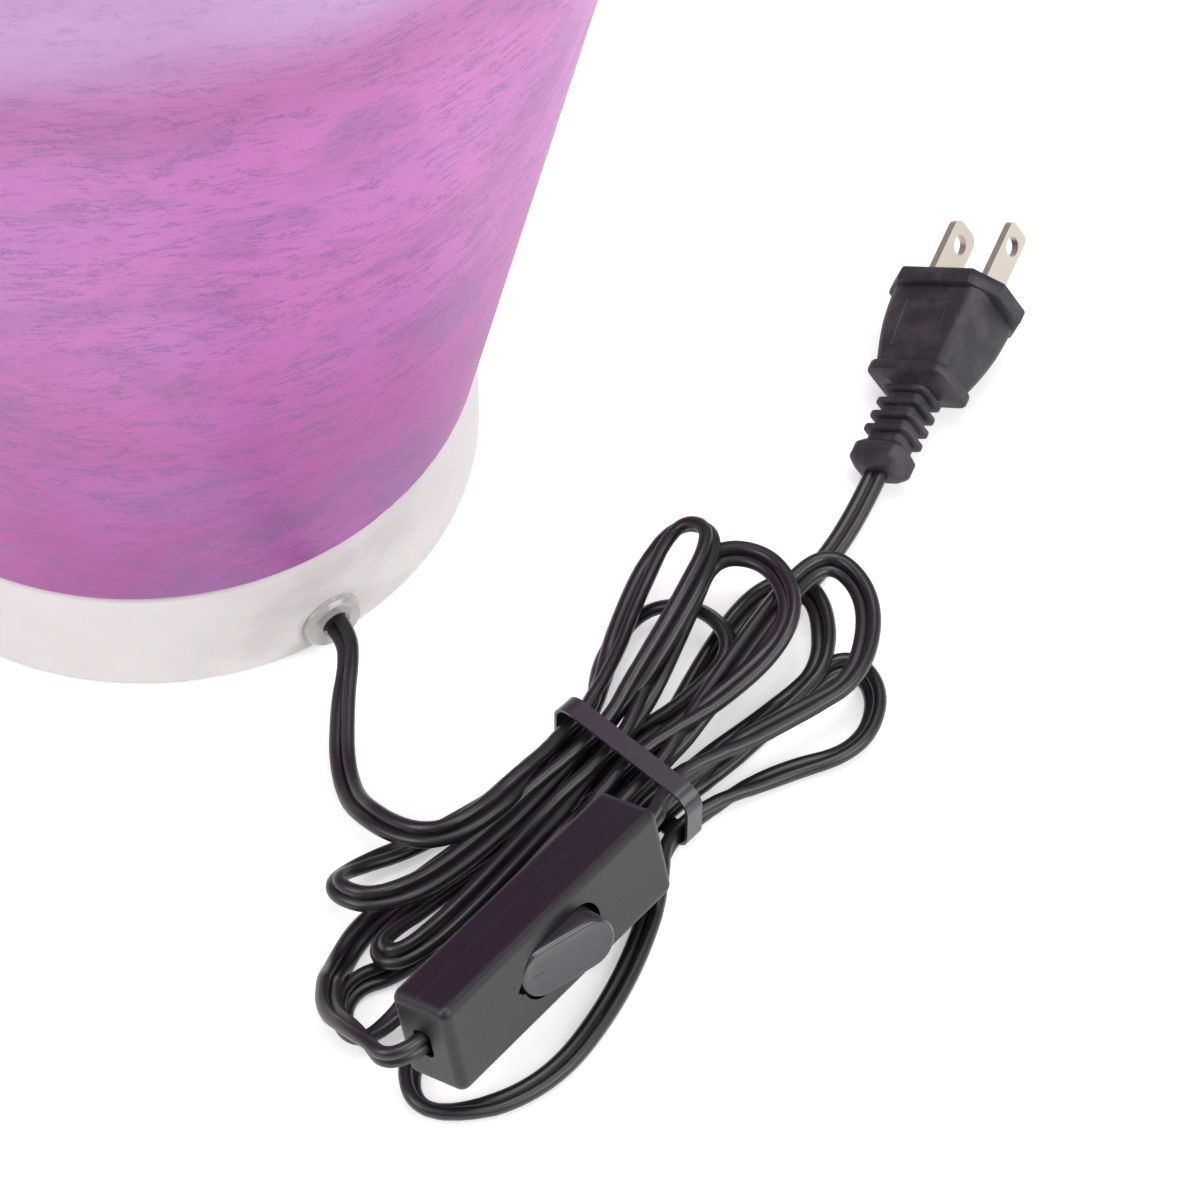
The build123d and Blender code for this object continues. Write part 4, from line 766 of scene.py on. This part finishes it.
class ACCENTLAMP_OT_base(bpy.types.Operator):
    """Dresses the base, its grommet, felt, plate and screws"""
    bl_idname = "accent_lamp.base"
    bl_label = "Base"

    def execute(self, context):
        look = context.scene.accent_lamp.base
        dress(frosted_glass(look), "base_cup")
        # Half clear, with a wet shine, so that the cord and the hole darken its middle
        dress(grained("clear soft vinyl", look.vinyl, 2.5, 0.02, 0.14, vary=0.03,
                      Transmission_Weight=0.55, IOR=1.45, Coat_Weight=0.4), "cord_grommet")
        # Short fibres on end: no shine at all, and a pale fuzz where it is seen edge on
        dress(grained("pressed wool felt", srgb("4a494c"), 0.5, 0.3, 0.95, vary=0.3,
                      Sheen_Weight=0.4), "felt_pad")
        # Fine orange peel, which breaks up the reflections on a grey even coat
        dress(grained("powder-coated steel", srgb("7d7f82"), 0.6, 0.03, 0.5), "bottom_plate")
        # Cool pale metal, bright but a little blurred by the plating's crystals
        dress(grained("zinc-plated steel", srgb("b9babc"), 1.5, 0.01, 0.35, Metallic=1.0),
              "plate_screws")
        return {"FINISHED"}


class ACCENTLAMP_OT_fittings(bpy.types.Operator):
    """Dresses the pipe, nuts, washers, gaskets and the inner cord"""
    bl_idname = "accent_lamp.fittings"
    bl_label = "Fittings"

    def execute(self, context):
        # Yellow metal with highlights drawn out round the pipe by the die's marks
        dress(grained("drawn brass", srgb("c9a25c"), 0.8, 0.01, 0.3, along=6, Metallic=1.0),
              "lamp_pipe")
        # Cool pale metal with the tool's level rings in its shine
        dress(grained("zinc-plated steel, turned", srgb("bdbec0"), 0.5, 0.01, 0.32, along=4,
                      Metallic=1.0), "bottom_nut", "top_nut", "lock_washer", "deck_washer",
              "top_washer")
        # Dull grey black with a faint cloth print, almost without a highlight
        dress(grained("black rubber sheet", srgb("2c2c2e"), 0.8, 0.05, 0.75), "seat_gasket",
              "top_gasket")
        # Black with a soft silky highlight along each wire
        dress(grained("black vinyl lead", srgb("2b282e"), 2.0, 0.02, 0.4), "inner_cord",
              "socket_leads", "switch_leads")
        return {"FINISHED"}


class ACCENTLAMP_OT_socket(bpy.types.Operator):
    """Dresses the screw socket and every stamped contact"""
    bl_idname = "accent_lamp.socket"
    bl_label = "Socket"

    def execute(self, context):
        # Warm yellow mirror, blurred by fine level lines from spinning under the lacquer
        dress(grained("lacquered brass", srgb("cfa968"), 0.6, 0.01, 0.28, along=5, Metallic=1.0),
              "socket_cap", "socket_shell")
        # Brown card with mottled fibres, dull all over
        dress(grained("vulcanised fibre card", srgb("4b4036"), 0.7, 0.06, 0.8, vary=0.2),
              "socket_liner")
        # Dark brown moulding with a low waxy shine
        dress(grained("phenolic moulding", srgb("35302d"), 1.2, 0.03, 0.45), "socket_interior")
        # Nearly white metal, bright, with level lines from the rolls
        dress(grained("rolled aluminium", srgb("c9cacc"), 0.6, 0.01, 0.3, along=5, Metallic=1.0),
              "screw_shell")
        # Yellow metal with an even, slightly cloudy shine from the press
        dress(grained("stamped brass", srgb("c8a05a"), 0.8, 0.01, 0.35, Metallic=1.0),
              "centre_contact", "terminal_screws", "contact_lever", "pivot_contact",
              "fixed_contact", "switch_terminal_screws")
        return {"FINISHED"}


class ACCENTLAMP_OT_bulb(bpy.types.Operator):
    """Dresses the bulb"""
    bl_idname = "accent_lamp.bulb"
    bl_label = "Bulb"

    def execute(self, context):
        # Greyer and more blurred than the shell it is screwed into
        dress(grained("rolled aluminium, dull", srgb("bfc0c3"), 0.8, 0.01, 0.38, along=5,
                      Metallic=1.0), "bulb_base")
        # Even milky white that glows faintly warm, with one clear highlight
        dress(grained("opal white glass", srgb("f4efe6"), 2.0, 0.005, 0.3, vary=0.02, IOR=1.5,
                      Emission_Color=srgb("fff1dc"), Emission_Strength=0.25), "bulb_glass")
        return {"FINISHED"}


ROCKER_LEAN = 11.0  # degrees that the rocker leans at rest
ROCKER_PINS = 3.4  # height of its pins over the switch's middle, in mm
ROCKER_HALF = (10.3, 5.4)  # half its length and its width
ROCKER_TOP = (4.6, 6.9)  # top of its pressed end and of its raised end
ROCKER_UNDER = (0.6, -1.0)  # underside at its ends and in the middle
ROCKER_STEPS = 14  # facets round each end
# Rings over the rocker's top: how far in from its outline, and how far below its top plane
ROCKER_RINGS = ((0, 1.0), (0.05, 0.65), (0.2, 0.3), (0.4, 0.1), (0.65, 0.0), (0.9, 0.02),
                (1.5, 0.14), (2.2, 0.26), (3.4, 0.34))


def rocker_ring(bm, matrix, inset, drop=None):
    """Closed loop of edges round the rocker, so far in from its outline and below its top, or
    along its underside where no drop is given"""
    half, radius = ROCKER_HALF[0] - ROCKER_HALF[1], ROCKER_HALF[1] - inset
    low, high = ROCKER_TOP
    verts = []
    for side in (1, -1):
        for step in range(ROCKER_STEPS + 1):
            angle = pi * step / ROCKER_STEPS - pi / 2
            x, y = side * (half + radius * cos(angle)), side * radius * sin(angle)
            part = x / ROCKER_HALF[0]
            if drop is None:
                z = ROCKER_UNDER[1] + (ROCKER_UNDER[0] - ROCKER_UNDER[1]) * abs(part)
            else:
                z = (low + high) / 2 + (high - low) / 2 * part - drop
            verts.append(bm.verts.new((matrix @ Vector((x, y, z))) * MM))
    return [bm.edges.new((verts[i - 1], verts[i])) for i in range(len(verts))]


def rocker_piece(material):
    """Dished boat with a rolled rim, higher at the end that stands out of the switch"""
    pins = switch @ Matrix.Translation((0, 0, ROCKER_PINS))
    matrix = pins @ Matrix.Rotation(radians(-ROCKER_LEAN), 4, "Y")
    bm = bmesh.new()
    last = rocker_ring(bm, matrix, 0.0)
    for inset, drop in ROCKER_RINGS:
        ring = rocker_ring(bm, matrix, inset, drop)
        bmesh.ops.bridge_loops(bm, edges=last + ring)
        last = ring
    bmesh.ops.holes_fill(bm, edges=[e for e in bm.edges if e.is_boundary], sides=0)
    bmesh.ops.recalc_face_normals(bm, faces=bm.faces)
    finished("rocker_cap", bm, material, "rocker_body", ("rocker",), 50)


class ACCENTLAMP_OT_switch(bpy.types.Operator):
    """Makes the rocker and dresses the rest of the in-line switch"""
    bl_idname = "accent_lamp.switch"
    bl_label = "Switch"

    def execute(self, context):
        look = context.scene.accent_lamp.switch
        dress(cover_plastic(look), "switch_cover_front", "switch_cover_back")
        rocker_piece(rocker_plastic(look))
        # Off-white and waxy, with a broad soft highlight
        dress(grained("moulded nylon", srgb("e6e3dc"), 1.0, 0.01, 0.4, vary=0.03),
              "rocker_plunger")
        # Cool pale metal with a bright line along each wire and head
        dress(grained("zinc-plated spring steel", srgb("b4b5b8"), 0.6, 0.01, 0.35,
                      Metallic=1.0), "plunger_spring", "switch_screws")
        return {"FINISHED"}


# Sizes of the plug's moulding, in mm: half widths, half heights, corners and lengths
CORNER_STEPS = 4  # facets round each corner of the plug's sections
FLANGE = (13.5, 9.5, 5.0)
FLANGE_T = 3.6
GRIP_WIDE = (11.0, 8.4)  # half its width at the flange and at the shoulder
GRIP_HIGH = (8.0, 5.9)
GRIP_CORNER = (3.0, 2.2)
GRIP_L = 17.0
GRIP_BULGE = 0.5
GRIP_STEPS = 8
SHOULDER = (9.3, 6.4, 2.2)
SHOULDER_T = 2.4
NECK = (4.1, 3.1, 1.4)  # between the ribs
RIBS = 4
RIB_PITCH = 3.2
FIRST_RIB = -24.5
RIB = ((0.0, *NECK), (0.1, 4.9, 3.7, 1.6), (0.4, 5.4, 4.1, 1.8), (1.2, 5.4, 4.1, 1.8),
       (1.5, 4.9, 3.7, 1.6), (1.6, *NECK))  # one rib's sections, back from its front
COLLAR = ((-37.6, *NECK), (-37.8, 4.6, 3.5, 1.5), (-38.9, 5.6, 4.2, 1.7),
          (-41.9, 5.6, 4.2, 1.7), (-42.4, 5.3, 4.0, 1.6), (-43.5, 4.3, 3.3, 1.5),
          (-43.7, 4.0, 3.0, 1.4))
PANEL = (9.5, 10.0)  # sunk square on the grip, wide and long
PANEL_AT = -12.2


def section_ring(bm, matrix, z, half_x, half_y, corner, cut=False):
    """Closed loop of edges at one height of a piece's frame: a rectangle with round corners, or
    with corners cut straight"""
    points = []
    for quarter in range(4):
        side_x = 1 if quarter in (0, 3) else -1
        side_y = 1 if quarter in (0, 1) else -1
        first = Vector((cos(pi / 2 * quarter), sin(pi / 2 * quarter)))
        last = Vector((cos(pi / 2 * (quarter + 1)), sin(pi / 2 * (quarter + 1))))
        for step in range(CORNER_STEPS + 1):
            way = first.lerp(last, step / CORNER_STEPS)
            if not cut:
                way.normalize()
            points.append(Vector((side_x * (half_x - corner), side_y * (half_y - corner)))
                          + way * corner)
    verts = [bm.verts.new((matrix @ Vector((*p, z))) * MM) for p in points]
    return [bm.edges.new((verts[i - 1], verts[i])) for i in range(len(verts))]


def slab(front, thick, half_x, half_y, corner, edge, cut=False):
    """Sections of a slab with softened edges, from its front to its back"""
    back = front - thick
    stations = []
    for z, inset in ((front, edge), (front - edge * 0.3, edge * 0.3), (front - edge, 0),
                     (back + edge, 0), (back + edge * 0.3, edge * 0.3), (back, edge)):
        stations.append((z, half_x - inset, half_y - inset, corner, cut))
    return stations


def plug_stations():
    """Sections of the plug's moulding from its face to its cord end"""
    stations = slab(0, FLANGE_T, *FLANGE, 0.6, cut=True)
    for step in range(GRIP_STEPS + 1):
        part = step / GRIP_STEPS
        bulge = GRIP_BULGE * sin(pi * part)
        wide, high, corner = (start + (end - start) * part
                              for start, end in (GRIP_WIDE, GRIP_HIGH, GRIP_CORNER))
        stations.append((-FLANGE_T - GRIP_L * part, wide + bulge, high + bulge, corner))
    stations += slab(-FLANGE_T - GRIP_L, SHOULDER_T, *SHOULDER, 0.35)
    stations += [(-23.2, 6.0, 4.2, 1.6), (-24.2, 4.2, 3.2, 1.4)]
    for rib in range(RIBS):
        front = FIRST_RIB - RIB_PITCH * rib
        stations += [(front - back, *section) for back, *section in RIB]
    return [*stations, *COLLAR]


class ACCENTLAMP_OT_plug(bpy.types.Operator):
    """Makes the plug's moulding and dresses its blades"""
    bl_idname = "accent_lamp.plug"
    bl_label = "Plug"

    def execute(self, context):
        look = context.scene.accent_lamp.switch
        bm = bmesh.new()
        last = None
        for station in plug_stations():
            ring = section_ring(bm, plug, *station)
            if last:
                bmesh.ops.bridge_loops(bm, edges=last + ring)
            last = ring
        bmesh.ops.holes_fill(bm, edges=[e for e in bm.edges if e.is_boundary], sides=0)
        bmesh.ops.recalc_face_normals(bm, faces=bm.faces)
        finished("plug_moulding", bm, plug_vinyl(look), "lamp", ("plug_body",), 40)
        # Warm pale metal, its shine blurred along the rolled strip
        dress(grained("satin nickel plate", look.blade, 0.4, 0.006, 0.42, vary=0.05, along=4,
                      Metallic=1.0), "blade_hot", "blade_neutral")
        return {"FINISHED"}


# The cords come after the switch and the plug
OPERATORS = (ACCENTLAMP_OT_stage, ACCENTLAMP_OT_switch, ACCENTLAMP_OT_plug, ACCENTLAMP_OT_cords,
             ACCENTLAMP_OT_vessel, ACCENTLAMP_OT_base, ACCENTLAMP_OT_fittings,
             ACCENTLAMP_OT_socket, ACCENTLAMP_OT_bulb)


class ACCENTLAMP_PT_panel(bpy.types.Panel):
    """Lists the lamp's pieces and their settings"""
    bl_idname = "ACCENTLAMP_PT_panel"
    bl_label = "Accent Lamp"
    bl_space_type = "VIEW_3D"
    bl_region_type = "UI"
    bl_category = "Accent Lamp"

    def draw(self, context):
        settings = context.scene.accent_lamp
        for group in (settings.glass, settings.base, settings.cord, settings.switch):
            box = self.layout.box()
            for name in group.__annotations__:
                box.prop(group, name)
        for operator in OPERATORS:
            self.layout.operator(operator.bl_idname)


CLASSES = (ACCENTLAMP_PG_glass, ACCENTLAMP_PG_base, ACCENTLAMP_PG_cord, ACCENTLAMP_PG_switch,
           ACCENTLAMP_PG_settings, *OPERATORS, ACCENTLAMP_PT_panel)


def register():
    """Registers the classes and hangs the settings on the scene"""
    for cls in CLASSES:
        bpy.utils.register_class(cls)
    bpy.types.Scene.accent_lamp = PointerProperty(type=ACCENTLAMP_PG_settings)


def unregister():
    """Takes the settings and the classes away again"""
    del bpy.types.Scene.accent_lamp
    for cls in reversed(CLASSES):
        bpy.utils.unregister_class(cls)


def main():
    register()
    for operator in OPERATORS:
        group, name = operator.bl_idname.split(".")
        getattr(getattr(bpy.ops, group), name)()


if __name__ == "__main__":
    main()
